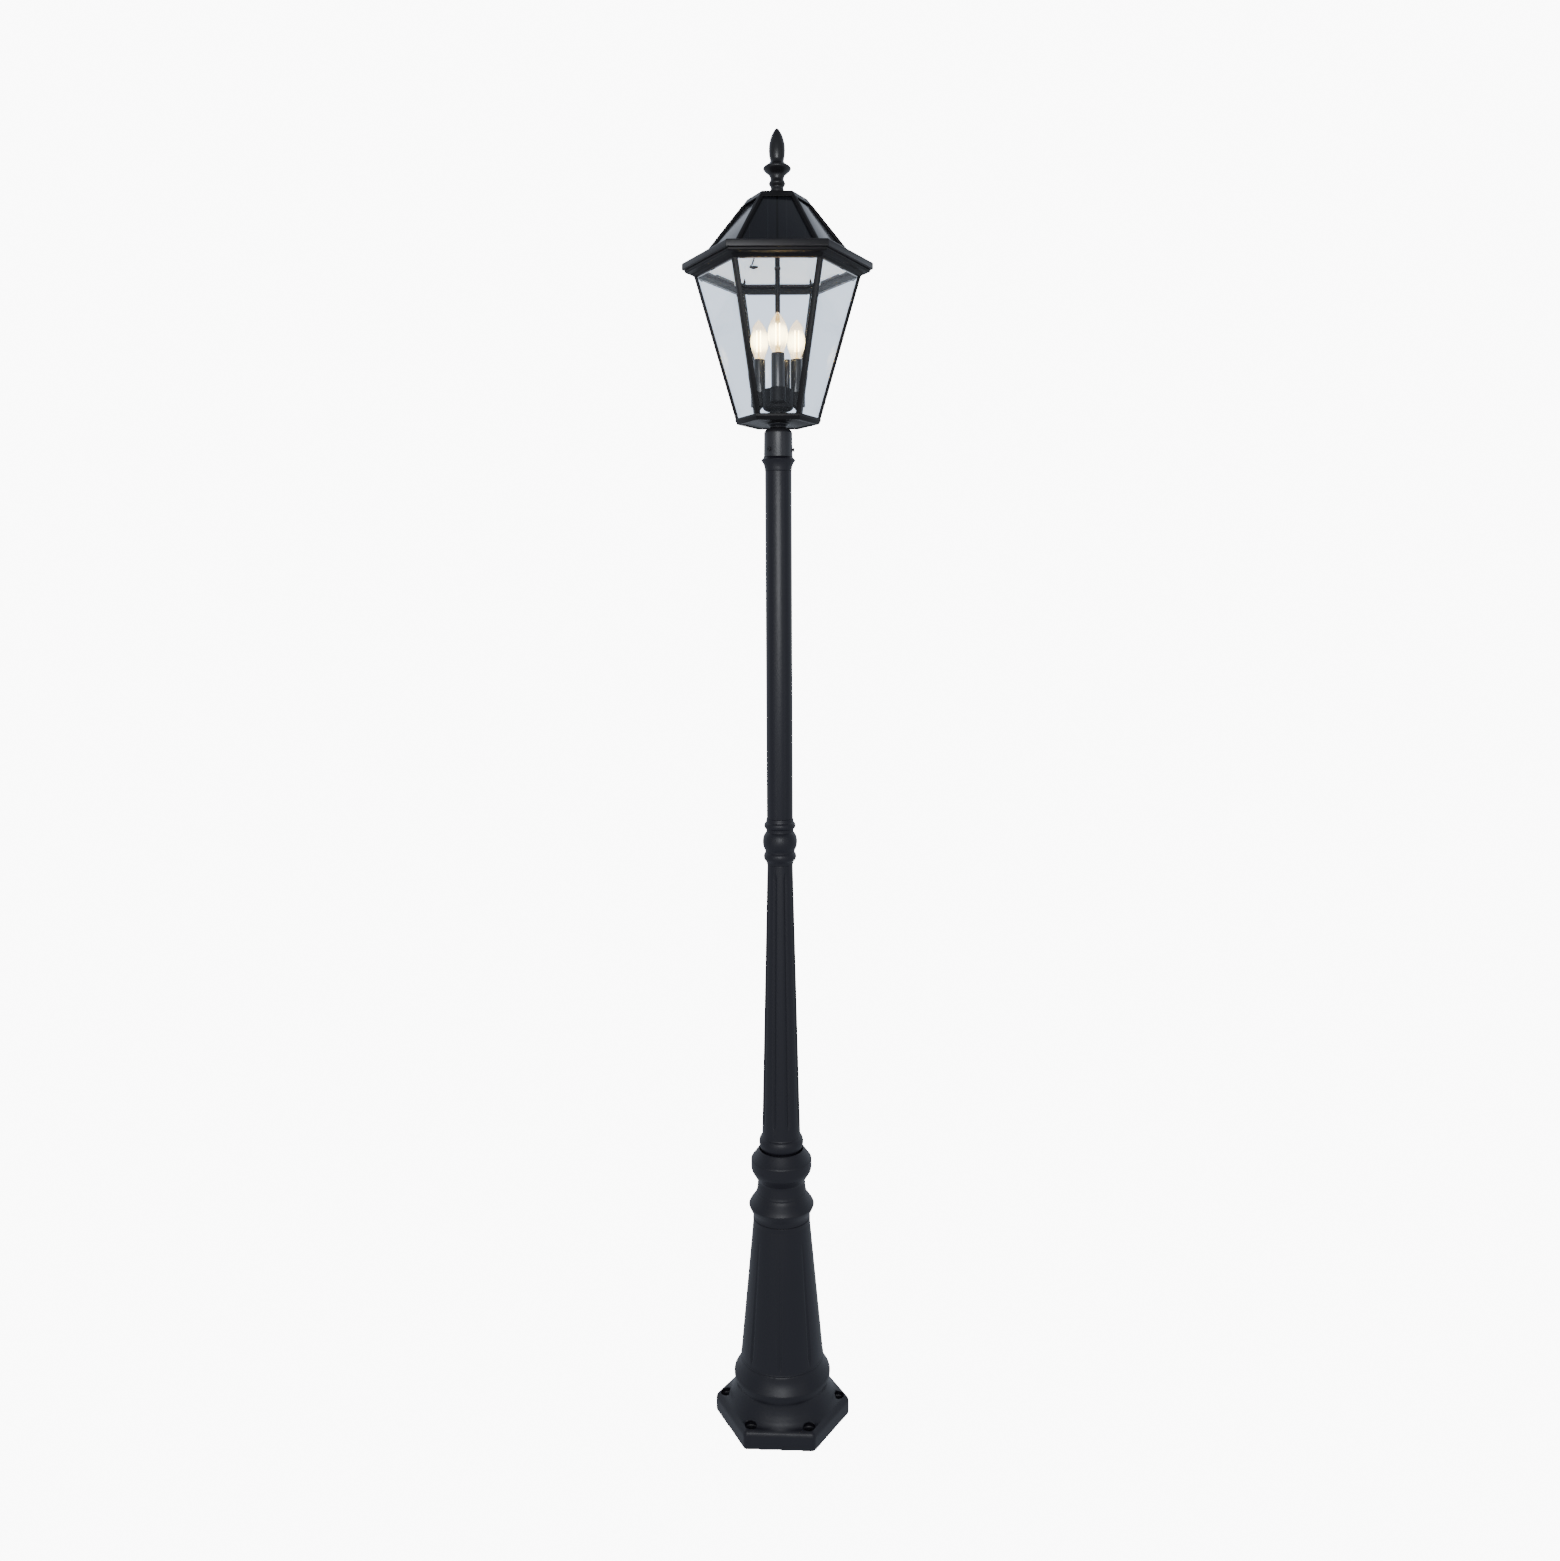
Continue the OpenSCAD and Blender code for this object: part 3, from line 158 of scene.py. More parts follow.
def make_studio():
    world = bpy.data.worlds.new("white studio")
    scene.world = world
    world.use_nodes = True
    tree = world.node_tree
    tree.nodes.clear()
    out = tree.nodes.new("ShaderNodeOutputWorld")
    mix = tree.nodes.new("ShaderNodeMixShader")
    path = tree.nodes.new("ShaderNodeLightPath")
    seen = tree.nodes.new("ShaderNodeBackground")
    set_values(seen, {"Color": (1, 1, 1, 1), "Strength": BACKDROP_STRENGTH})
    lit = tree.nodes.new("ShaderNodeBackground")
    lit.inputs["Color"].default_value = STUDIO_COLOR
    level = ramp(tree, path.outputs["Is Transmission Ray"], 0.0, 1.0, studio_light(tree), THROUGH_LIGHT)
    tree.links.new(level, lit.inputs["Strength"])
    tree.links.new(path.outputs["Is Camera Ray"], mix.inputs[0])
    tree.links.new(lit.outputs[0], mix.inputs[1])
    tree.links.new(seen.outputs[0], mix.inputs[2])
    tree.links.new(mix.outputs[0], out.inputs["Surface"])


def softbox(name, at, look, size, power, color):
    """A rectangular lamp, which isn't seen through the glass."""
    data = bpy.data.lights.new(name, "AREA")
    data.shape = "RECTANGLE"
    data.size = size[0]
    data.size_y = size[1]
    data.energy = power
    data.color = color
    box = bpy.data.objects.new(name, data)
    scene.collection.objects.link(box)
    box.location = at
    box.visible_transmission = False
    box.rotation_euler = (Vector(look) - Vector(at)).to_track_quat("-Z", "Y").to_euler()


def bulb_light(number):
    """A small warm lamp over a bulb, which colours the frame round it."""
    name = "bulb light %d" % number
    low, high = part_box("bulb_glass_%d" % number)
    data = bpy.data.lights.new(name, "POINT")
    data.energy = BULB_WATTS
    data.color = BULB_COLOR
    data.shadow_soft_size = BULB_SOURCE
    lamp = bpy.data.objects.new(name, data)
    scene.collection.objects.link(lamp)
    lamp.location = ((low[0] + high[0]) / 2, (low[1] + high[1]) / 2, high[2] + BULB_RISE)
    lamp.visible_camera = False
    lamp.visible_transmission = False


def make_floor(material):
    """The studio's floor, just under the foot."""
    bm = bmesh.new()
    bmesh.ops.create_grid(bm, x_segments=1, y_segments=1, size=FLOOR_SIZE)
    mesh = to_mesh(bm, "floor")
    mesh.transform(Matrix.Translation((0, 0, -FLOOR_DROP)))
    floor = bpy.data.objects.new("floor", mesh)
    scene.collection.objects.link(floor)
    mesh.materials.append(material)


# Shader groups
def shader_group(name, inputs, outputs):
    """A node group with number inputs, and its two end nodes."""
    group = bpy.data.node_groups.new(name, "ShaderNodeTree")
    for label, value in inputs:
        socket = group.interface.new_socket(label, in_out="INPUT", socket_type="NodeSocketFloat")
        socket.default_value = value
    for label, kind in outputs:
        group.interface.new_socket(label, in_out="OUTPUT", socket_type=kind)
    entry = group.nodes.new("NodeGroupInput")
    leave = group.nodes.new("NodeGroupOutput")
    return group, entry, leave


def set_values(node, values):
    """Sets a shader node's inputs by their labels."""
    for label, value in values.items():
        node.inputs[label].default_value = value


def object_coords(tree):
    return tree.nodes.new("ShaderNodeTexCoord").outputs["Object"]


def axes(tree, vector):
    """The three parts of a vector."""
    split = tree.nodes.new("ShaderNodeSeparateXYZ")
    tree.links.new(vector, split.inputs[0])
    return split.outputs


def math_node(tree, operation, first, second=None, clamp=False):
    """One sum, on numbers or sockets."""
    node = tree.nodes.new("ShaderNodeMath")
    node.operation = operation
    node.use_clamp = clamp
    for socket, value in zip(node.inputs, (first, second)):
        if value is None:
            continue
        if isinstance(value, (int, float)):
            socket.default_value = value
        else:
            tree.links.new(value, socket)
    return node.outputs[0]


def noise(tree, coords, scale, detail, roughness=0.5):
    node = tree.nodes.new("ShaderNodeTexNoise")
    set_values(node, {"Detail": detail, "Roughness": roughness})
    tree.links.new(coords, node.inputs["Vector"])
    if isinstance(scale, (int, float)):
        node.inputs["Scale"].default_value = scale
    else:
        tree.links.new(scale, node.inputs["Scale"])
    return node.outputs[0]


def powder_coat_group():
    """Fine grain, slow waviness and a little tonal drift of a sprayed and baked coat."""
    group, entry, leave = shader_group(
        "powder coat surface",
        [("Grain scale", 900.0), ("Wave scale", 38.0), ("Wave share", 0.5), ("Roughness", 0.4),
         ("Drift", 0.08)],
        [("Height", "NodeSocketFloat"), ("Roughness", "NodeSocketFloat"), ("Tone", "NodeSocketFloat")])
    coords = object_coords(group)
    grain = noise(group, coords, entry.outputs["Grain scale"], 2.0)
    wave = noise(group, coords, entry.outputs["Wave scale"], 3.0)
    cloud = noise(group, coords, 6.0, 4.0, 0.6)
    height = math_node(group, "MULTIPLY_ADD", wave, entry.outputs["Wave share"])
    group.links.new(grain, height.node.inputs[2])
    drift = math_node(group, "SUBTRACT", cloud, 0.5)
    drift = math_node(group, "MULTIPLY", drift, entry.outputs["Drift"])
    rough = math_node(group, "ADD", drift, entry.outputs["Roughness"])
    tone = math_node(group, "MULTIPLY", drift, 2.0)
    tone = math_node(group, "ADD", tone, 0.5, clamp=True)
    group.links.new(height, leave.inputs["Height"])
    group.links.new(rough, leave.inputs["Roughness"])
    group.links.new(tone, leave.inputs["Tone"])
    return group


# Widths of a finger line and a busbar as shares of their pitch, and how much a busbar outshines a line
FINGER_SHARE = 0.09
BUSBAR_SHARE = 0.035
BUSBAR_WEIGHT = 1.6


def cell_group():
    """Finger lines, busbars and the gap between two strings of cells, from a UV map in metres."""
    group, entry, leave = shader_group(
        "solar cell print",
        [("Finger pitch", 0.0022), ("Busbar pitch", 0.031), ("Gap", 0.0016)],
        [("Cell", "NodeSocketFloat"), ("Line", "NodeSocketFloat")])
    uv = group.nodes.new("ShaderNodeUVMap")
    uv.uv_map = "laminate"
    side, up, _ = axes(group, uv.outputs[0])
    off_centre = math_node(group, "ABSOLUTE", side)
    in_cell = math_node(group, "GREATER_THAN", off_centre, entry.outputs["Gap"])
    finger = math_node(group, "DIVIDE", up, entry.outputs["Finger pitch"])
    finger = math_node(group, "FRACT", finger)
    finger = math_node(group, "LESS_THAN", finger, FINGER_SHARE)
    bus = math_node(group, "DIVIDE", off_centre, entry.outputs["Busbar pitch"])
    bus = math_node(group, "SUBTRACT", bus, 0.5)
    bus = math_node(group, "FRACT", bus)
    bus = math_node(group, "LESS_THAN", bus, BUSBAR_SHARE)
    bus = math_node(group, "MULTIPLY", bus, BUSBAR_WEIGHT)
    line = math_node(group, "MAXIMUM", finger, bus)
    line = math_node(group, "MULTIPLY", line, in_cell)
    group.links.new(in_cell, leave.inputs["Cell"])
    group.links.new(line, leave.inputs["Line"])
    return group


# Materials
def new_material(name):
    """A new material with its tree and its Principled shader."""
    material = bpy.data.materials.new(name)
    material.use_nodes = True
    tree = material.node_tree
    return material, tree, tree.nodes["Principled BSDF"]


def color_between(tree, share, dark, light):
    """A colour between two, by a share."""
    mix = tree.nodes.new("ShaderNodeMix")
    mix.data_type = "RGBA"
    mix.inputs["A"].default_value = (*dark, 1)
    mix.inputs["B"].default_value = (*light, 1)
    tree.links.new(share, mix.inputs["Factor"])
    return mix.outputs["Result"]


def add_bump(tree, shader, height, strength, distance):
    bump = tree.nodes.new("ShaderNodeBump")
    set_values(bump, {"Strength": strength, "Distance": distance})
    tree.links.new(height, bump.inputs["Height"])
    tree.links.new(bump.outputs["Normal"], shader.inputs["Normal"])


def coated(name, dark, light, rough, grain=900.0, waves=38.0, wave_share=0.5, depth=0.00004, level=0.5,
           metallic=0.0, drift=0.08):
    """A sprayed or plated surface: colour drift, roughness drift and fine grain."""
    material, tree, shader = new_material(name)
    coat = tree.nodes.new("ShaderNodeGroup")
    coat.node_tree = GROUPS["coat"]
    set_values(coat, {"Grain scale": grain, "Wave scale": waves, "Wave share": wave_share,
                      "Roughness": rough, "Drift": drift})
    tree.links.new(color_between(tree, coat.outputs["Tone"], dark, light), shader.inputs["Base Color"])
    tree.links.new(coat.outputs["Roughness"], shader.inputs["Roughness"])
    add_bump(tree, shader, coat.outputs["Height"], 0.6, depth)
    set_values(shader, {"Metallic": metallic, "Specular IOR Level": level})
    return material


def pane_glass():
    """Clear glass with a faint waviness."""
    material, tree, shader = new_material("clear glass")
    set_values(shader, {"Base Color": (0.94, 0.968, 0.995, 1), "Roughness": 0.0, "IOR": 1.3,
                        "Transmission Weight": 1.0})
    wave = noise(tree, object_coords(tree), 14.0, 1.0)
    add_bump(tree, shader, wave, 0.05, 0.0001)
    return material


def solar_laminate():
    """Dark cells under glossy glass."""
    material, tree, shader = new_material("solar laminate")
    cells = tree.nodes.new("ShaderNodeGroup")
    cells.node_tree = GROUPS["cells"]
    body = color_between(tree, cells.outputs["Cell"], (0.0035, 0.0035, 0.004), (0.0092, 0.0094, 0.0122))
    mix = tree.nodes.new("ShaderNodeMix")
    mix.data_type = "RGBA"
    mix.inputs["B"].default_value = (0.05, 0.052, 0.058, 1)
    tree.links.new(math_node(tree, "MULTIPLY", cells.outputs["Line"], 0.11), mix.inputs["Factor"])
    tree.links.new(body, mix.inputs["A"])
    tree.links.new(mix.outputs["Result"], shader.inputs["Base Color"])
    cloud = noise(tree, object_coords(tree), 40.0, 2.0)
    rough = math_node(tree, "MULTIPLY", cloud, 0.05)
    tree.links.new(math_node(tree, "ADD", rough, 0.15), shader.inputs["Roughness"])
    shader.inputs["Specular IOR Level"].default_value = 0.38
    return material


def white_backing_painted_glow():
    """The roof's white inside, with a faint bluish glow painted on to stand in for the light that reaches it.
    """
    material, tree, shader = new_material("white backing")
    cloud = noise(tree, object_coords(tree), 30.0, 3.0)
    tree.links.new(color_between(tree, cloud, (0.82, 0.85, 0.88), (0.9, 0.92, 0.95)),
                   shader.inputs["Base Color"])
    # Painted light: the emission is a faint bluish glow standing in for light reaching the roof's inside.
    set_values(shader, {"Roughness": 0.45, "Emission Color": (0.7, 0.85, 1.0, 1), "Emission Strength": 0.74})
    return material


def bulb_envelope():
    """Thin clear glass, with the filaments' glare across its middle."""
    material, tree, shader = new_material("bulb glass")
    set_values(shader, {"Base Color": (1.0, 0.97, 0.92, 1), "Roughness": 0.02, "Transmission Weight": 0.92,
                        "IOR": 1.08, "Emission Strength": 2.8})
    _, _, height = axes(tree, object_coords(tree))
    low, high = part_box("bulb_glass_1")[0][2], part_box("bulb_glass_1")[1][2]
    rise = ramp(tree, height, low + (high - low) * 0.14, low + (high - low) * 0.38, 0.04, 1.0)
    fall = ramp(tree, height, low + (high - low) * 0.54, low + (high - low) * 0.76, 1.0, 0.0)
    facing = tree.nodes.new("ShaderNodeLayerWeight")
    facing.inputs["Blend"].default_value = 0.35
    glow = math_node(tree, "SUBTRACT", 1.0, facing.outputs["Facing"])
    glow = math_node(tree, "MULTIPLY", math_node(tree, "POWER", glow, 0.7),
                     math_node(tree, "MULTIPLY", rise, fall))
    tree.links.new(color_between(tree, glow, (0.1, 0.055, 0.006), (1.0, 0.8, 0.36)),
                   shader.inputs["Emission Color"])
    return material


def lit_filament():
    """Glowing filament with brighter and duller spots."""
    material, tree, shader = new_material("lit filament")
    dots = noise(tree, object_coords(tree), 420.0, 1.0)
    set_values(shader, {"Base Color": (1.0, 0.72, 0.3, 1), "Roughness": 0.4, "Emission Strength": 14.0})
    tree.links.new(color_between(tree, dots, (1.0, 0.74, 0.36), (1.0, 0.88, 0.62)),
                   shader.inputs["Emission Color"])
    return material


def floor_white():
    """White to the camera from above, and clear from below."""
    material, tree, shader = new_material("studio floor")
    tree.nodes.remove(shader)
    out = tree.nodes["Material Output"]
    path = tree.nodes.new("ShaderNodeLightPath")
    side = tree.nodes.new("ShaderNodeNewGeometry")
    seen = tree.nodes.new("ShaderNodeEmission")
    seen.inputs["Strength"].default_value = BACKDROP_STRENGTH
    lit = tree.nodes.new("ShaderNodeEmission")
    lit.inputs["Color"].default_value = STUDIO_COLOR
    level = ramp(tree, path.outputs["Is Transmission Ray"], 0.0, 1.0, FLOOR_LIGHT, THROUGH_LIGHT)
    tree.links.new(level, lit.inputs["Strength"])
    clear = tree.nodes.new("ShaderNodeBsdfTransparent")
    by_ray = tree.nodes.new("ShaderNodeMixShader")
    by_side = tree.nodes.new("ShaderNodeMixShader")
    tree.links.new(path.outputs["Is Camera Ray"], by_ray.inputs[0])
    tree.links.new(lit.outputs[0], by_ray.inputs[1])
    tree.links.new(seen.outputs[0], by_ray.inputs[2])
    tree.links.new(side.outputs["Backfacing"], by_side.inputs[0])
    tree.links.new(by_ray.outputs[0], by_side.inputs[1])
    tree.links.new(clear.outputs[0], by_side.inputs[2])
    tree.links.new(by_side.outputs[0], out.inputs["Surface"])
    return material


GROUPS = {"coat": powder_coat_group(), "cells": cell_group()}
POST_BLACK = ((0.008, 0.0074, 0.0112), (0.0104, 0.0096, 0.0142))
LANTERN_BLACK = ((0.0055, 0.005, 0.0057), (0.0078, 0.007, 0.0078))
MATERIALS = {
    "post_casting": coated("satin black coat on the castings", *POST_BLACK, 0.44, level=0.34, depth=0.000006),
    "lantern_casting": coated("satin black coat on the lantern", *LANTERN_BLACK, 0.34, level=0.28, waves=60.0,
                              depth=0.000005),
    "tube_steel": coated("satin black coat on the tube", *POST_BLACK, 0.38, level=0.36, wave_share=0.2,
                         depth=0.000005),
    "plain_steel": coated("zinc plated steel", (0.42, 0.43, 0.45), (0.56, 0.57, 0.6), 0.34, grain=1500.0,
                          metallic=1.0),
    "dark_screws": coated("blackened steel", (0.02, 0.02, 0.022), (0.04, 0.04, 0.043), 0.36, grain=1800.0,
                          metallic=0.6),
    "inner_metal": coated("gunmetal coat", (0.034, 0.034, 0.0345), (0.044, 0.044, 0.045), 0.24, wave_share=0.0,
                          depth=0.000001, metallic=0.35),
    "lampholder": coated("cream lampholder plastic", (0.62, 0.6, 0.53), (0.72, 0.7, 0.62), 0.5),
    "clear_glass": pane_glass(),
    "solar_cells": solar_laminate(),
    "bulb_glass": bulb_envelope(),
    "bulb_brass": coated("nickelled brass", (0.5, 0.4, 0.22), (0.62, 0.5, 0.28), 0.3, metallic=1.0),
    "bulb_filament": lit_filament(),
    "board": coated("green solder mask", (0.02, 0.11, 0.045), (0.03, 0.15, 0.06), 0.35, drift=0.2),
    "cell_wrap": coated("blue cell wrap", (0.03, 0.13, 0.36), (0.045, 0.17, 0.45), 0.3),
    "black_plastic": coated("black plastic", (0.015, 0.015, 0.016), (0.022, 0.022, 0.023), 0.5, grain=1400.0),
    "black_rubber": coated("black rubber", (0.011, 0.011, 0.012), (0.016, 0.016, 0.017), 0.62),
}
# The backing material's emission is painted light, on the backings and on the hip covers.
BACKING = white_backing_painted_glow()
# The fitter's coat is the castings' paint made glossier, with its colour lightened as a painted sheen.
FITTER_COAT_PAINTED_SHEEN = coated("glossier black coat on the fitter", (0.015, 0.0145, 0.018), (0.019, 0.0185, 0.022), 0.36,
                     level=0.48, depth=0.000005)
CAGE_COAT = coated("satin black coat on the cage", *LANTERN_BLACK, 0.42, level=0.16, waves=60.0, depth=0.000005)
LAMP_BLACK = coated("dull black coat on the lamp bowl", *LANTERN_BLACK, 0.5, level=0.14, depth=0.000003)
# The finial's coat is the lantern's paint made glossier, with its colour lightened as a painted sheen.
FINIAL_COAT_PAINTED_SHEEN = coated("glossier black coat on the finial", (0.0085, 0.008, 0.009), (0.0115, 0.0105, 0.0115),
                     0.32, level=0.4, depth=0.000005)


# Meshes. Distances in metres under which points merge, in own meshes and in the CAD's,
# the angle under which its triangles are one face, and the least length and turn that count in a profile
MERGE = 1e-7
CAD_MERGE = 2e-6
FLAT_ANGLE = math.radians(0.5)
TINY = 1e-6
LEAST_TURN = 0.12


def mesh_object(name, mesh, material):
    obj = bpy.data.objects.new(name, mesh)
    scene.collection.objects.link(obj)
    mesh.materials.clear()
    mesh.materials.append(material)
    return obj


def to_mesh(bm, name):
    """A new mesh from an edit mesh, which is freed."""
    mesh = bpy.data.meshes.new(name)
    bm.to_mesh(mesh)
    bm.free()
    return mesh


def finish_mesh(bm, name):
    """A new mesh with its double points merged and its faces turned outward."""
    bmesh.ops.remove_doubles(bm, verts=bm.verts, dist=MERGE)
    bmesh.ops.recalc_face_normals(bm, faces=bm.faces)
    return to_mesh(bm, name)


def smooth_faces(mesh):
    mesh.polygons.foreach_set("use_smooth", [True] * len(mesh.polygons))


def shade(mesh, sharp_above=35):
    """Smooth shading, with edges above an angle left sharp."""
    smooth_faces(mesh)
    mesh.set_sharp_from_angle(angle=math.radians(sharp_above))


def arc(x, z, rx, rz, start, end, steps=14):
    """Points of an elliptical arc in a profile, with angles in degrees."""
    points = []
    for i in range(steps + 1):
        angle = math.radians(start + (end - start) * i / steps)
        points.append((x + rx * math.cos(angle), z + rz * math.sin(angle)))
    return points


def rounded(points, size=1.0, steps=4):
    """A closed profile with each corner cut back by a small curve. Points on the axis stay."""
    out = []
    count = len(points)
    for i, (x, z) in enumerate(points):
        before = Vector(points[i - 1])
        here = Vector((x, z))
        after = Vector(points[(i + 1) % count])
        back, on = before - here, after - here
        short = back.length < TINY or on.length < TINY
        if x < TINY or short or abs(math.pi - back.angle(on)) < LEAST_TURN:
            out.append((x, z))
            continue
        cut = min(size, back.length * 0.45, on.length * 0.45)
        start, end = here + back.normalized() * cut, here + on.normalized() * cut
        for k in range(steps + 1):
            t = k / steps
            spot = start * (1 - t) ** 2 + here * 2 * t * (1 - t) + end * t ** 2
            out.append((spot.x, spot.y))
    return out


def lathe(name, profile, segments=160, at=(0, 0)):
    """A closed turned mesh from a closed profile of radius and height in millimetres."""
    bm = bmesh.new()
    rings = []
    for r, z in profile:
        ring = []
        for k in range(segments):
            angle = math.tau * k / segments
            ring.append(bm.verts.new((r * MM * math.cos(angle), r * MM * math.sin(angle), z * MM)))
        rings.append(ring)
    for i, ring in enumerate(rings):
        following = rings[(i + 1) % len(rings)]
        if profile[i][0] < TINY and profile[(i + 1) % len(rings)][0] < TINY:
            continue
        for k in range(segments):
            n = (k + 1) % segments
            bm.faces.new((ring[k], ring[n], following[n], following[k]))
    bmesh.ops.remove_doubles(bm, verts=bm.verts, dist=MERGE)
    bmesh.ops.translate(bm, verts=bm.verts, vec=(at[0] * MM, at[1] * MM, 0))
    mesh = finish_mesh(bm, name)
    shade(mesh)
    return mesh


def place(name, mesh, body, slot, nodes, material=None):
    """Links a finished mesh, gives it its finish and body, and lets it stand for its CAD nodes."""
    obj = mesh_object(name, mesh, material or MATERIALS[slot])
    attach(obj, body)
    if nodes:
        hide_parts(*nodes)
    return obj


def merged_copy(node):
    """A copy of a CAD node's mesh with its loose triangles merged and its flat faces whole."""
    bm = bmesh.new()
    bm.from_mesh(NODES[node].data)
    bmesh.ops.remove_doubles(bm, verts=bm.verts, dist=CAD_MERGE)
    bmesh.ops.dissolve_limit(bm, angle_limit=FLAT_ANGLE, verts=bm.verts, edges=bm.edges)
    for layer in list(bm.loops.layers.uv):
        bm.loops.layers.uv.remove(layer)
    return to_mesh(bm, node + "_copy")


def edit_copy(node):
    """A merged copy of a CAD node, as an edit mesh."""
    bm = bmesh.new()
    bm.from_mesh(merged_copy(node))
    return bm


def largest_face(bm, direction):
    """The largest face that looks along a direction."""
    return max(bm.faces, key=lambda f: f.calc_area() if f.normal.dot(direction) > 0.5 else 0)


def baked(obj):
    """The evaluated mesh of an object, as a plain mesh."""
    depsgraph = bpy.context.evaluated_depsgraph_get()
    mesh = bpy.data.meshes.new_from_object(obj.evaluated_get(depsgraph))
    old = obj.data
    bpy.data.objects.remove(obj)
    if old.users == 0:
        bpy.data.meshes.remove(old)
    return mesh


def rounded_edges(obj, edge, steps, angle):
    """An object's mesh with its edges above an angle rounded, by a width in millimetres."""
    smooth_faces(obj.data)
    bevel = obj.modifiers.new("edges", "BEVEL")
    bevel.width = edge * MM
    bevel.segments = steps
    bevel.limit_method = "ANGLE"
    bevel.angle_limit = math.radians(angle)
    bevel.harden_normals = True
    return baked(obj)


def softened(node, edge, steps=2, angle=28):
    """A CAD node's shape with its edges rounded, as casting, folding or deburring leaves them."""
    obj = mesh_object(node + "_soft", merged_copy(node), MATERIALS[SLOT_OF[node]])
    return rounded_edges(obj, edge, steps, angle)


# Geometry Nodes
def node_tree(name, inputs):
    """A Geometry Nodes group with its inputs, and its two end nodes."""
    tree = bpy.data.node_groups.new(name, "GeometryNodeTree")
    tree.interface.new_socket("Geometry", in_out="INPUT", socket_type="NodeSocketGeometry")
    for label, kind in inputs:
        tree.interface.new_socket(label, in_out="INPUT", socket_type=kind)
    tree.interface.new_socket("Geometry", in_out="OUTPUT", socket_type="NodeSocketGeometry")
    return tree, tree.nodes.new("NodeGroupInput"), tree.nodes.new("NodeGroupOutput")


def hand_out(tree, geometry, entry, leave):
    """Makes the copies real, gives them the material and hands them out."""
    real = tree.nodes.new("GeometryNodeRealizeInstances")
    paint = tree.nodes.new("GeometryNodeSetMaterial")
    tree.links.new(geometry, real.inputs[0])
    tree.links.new(real.outputs[0], paint.inputs["Geometry"])
    tree.links.new(entry.outputs["Material"], paint.inputs["Material"])
    tree.links.new(paint.outputs[0], leave.inputs[0])


def set_inputs(modifier, values):
    """Sets a Geometry Nodes modifier's inputs by their labels."""
    for item in modifier.node_group.interface.items_tree:
        if item.item_type == "SOCKET" and item.in_out == "INPUT" and item.name in values:
            modifier[item.identifier] = values[item.name]


def ring_tree():
    """Copies of one piece round the upright axis."""
    tree, entry, leave = node_tree("ring of pieces", [
        ("Piece", "NodeSocketObject"), ("Count", "NodeSocketInt"), ("Start", "NodeSocketFloat"),
        ("Material", "NodeSocketMaterial")])
    new = tree.nodes.new
    link = tree.links.new
    info = new("GeometryNodeObjectInfo")
    line = new("GeometryNodeMeshLine")
    line.mode = "OFFSET"
    line.inputs["Offset"].default_value = (0, 0, 0)
    index = new("GeometryNodeInputIndex")
    step = new("ShaderNodeMath")
    step.operation = "DIVIDE"
    step.inputs[0].default_value = math.tau
    turn = new("ShaderNodeMath")
    turn.operation = "MULTIPLY_ADD"
    spin = new("ShaderNodeCombineXYZ")
    copies = new("GeometryNodeInstanceOnPoints")
    link(entry.outputs["Piece"], info.inputs["Object"])
    link(entry.outputs["Count"], line.inputs["Count"])
    link(entry.outputs["Count"], step.inputs[1])
    link(index.outputs[0], turn.inputs[0])
    link(step.outputs[0], turn.inputs[1])
    link(entry.outputs["Start"], turn.inputs[2])
    link(turn.outputs[0], spin.inputs["Z"])
    link(line.outputs["Mesh"], copies.inputs["Points"])
    link(info.outputs["Geometry"], copies.inputs["Instance"])
    link(spin.outputs[0], copies.inputs["Rotation"])
    hand_out(tree, copies.outputs[0], entry, leave)
    return tree


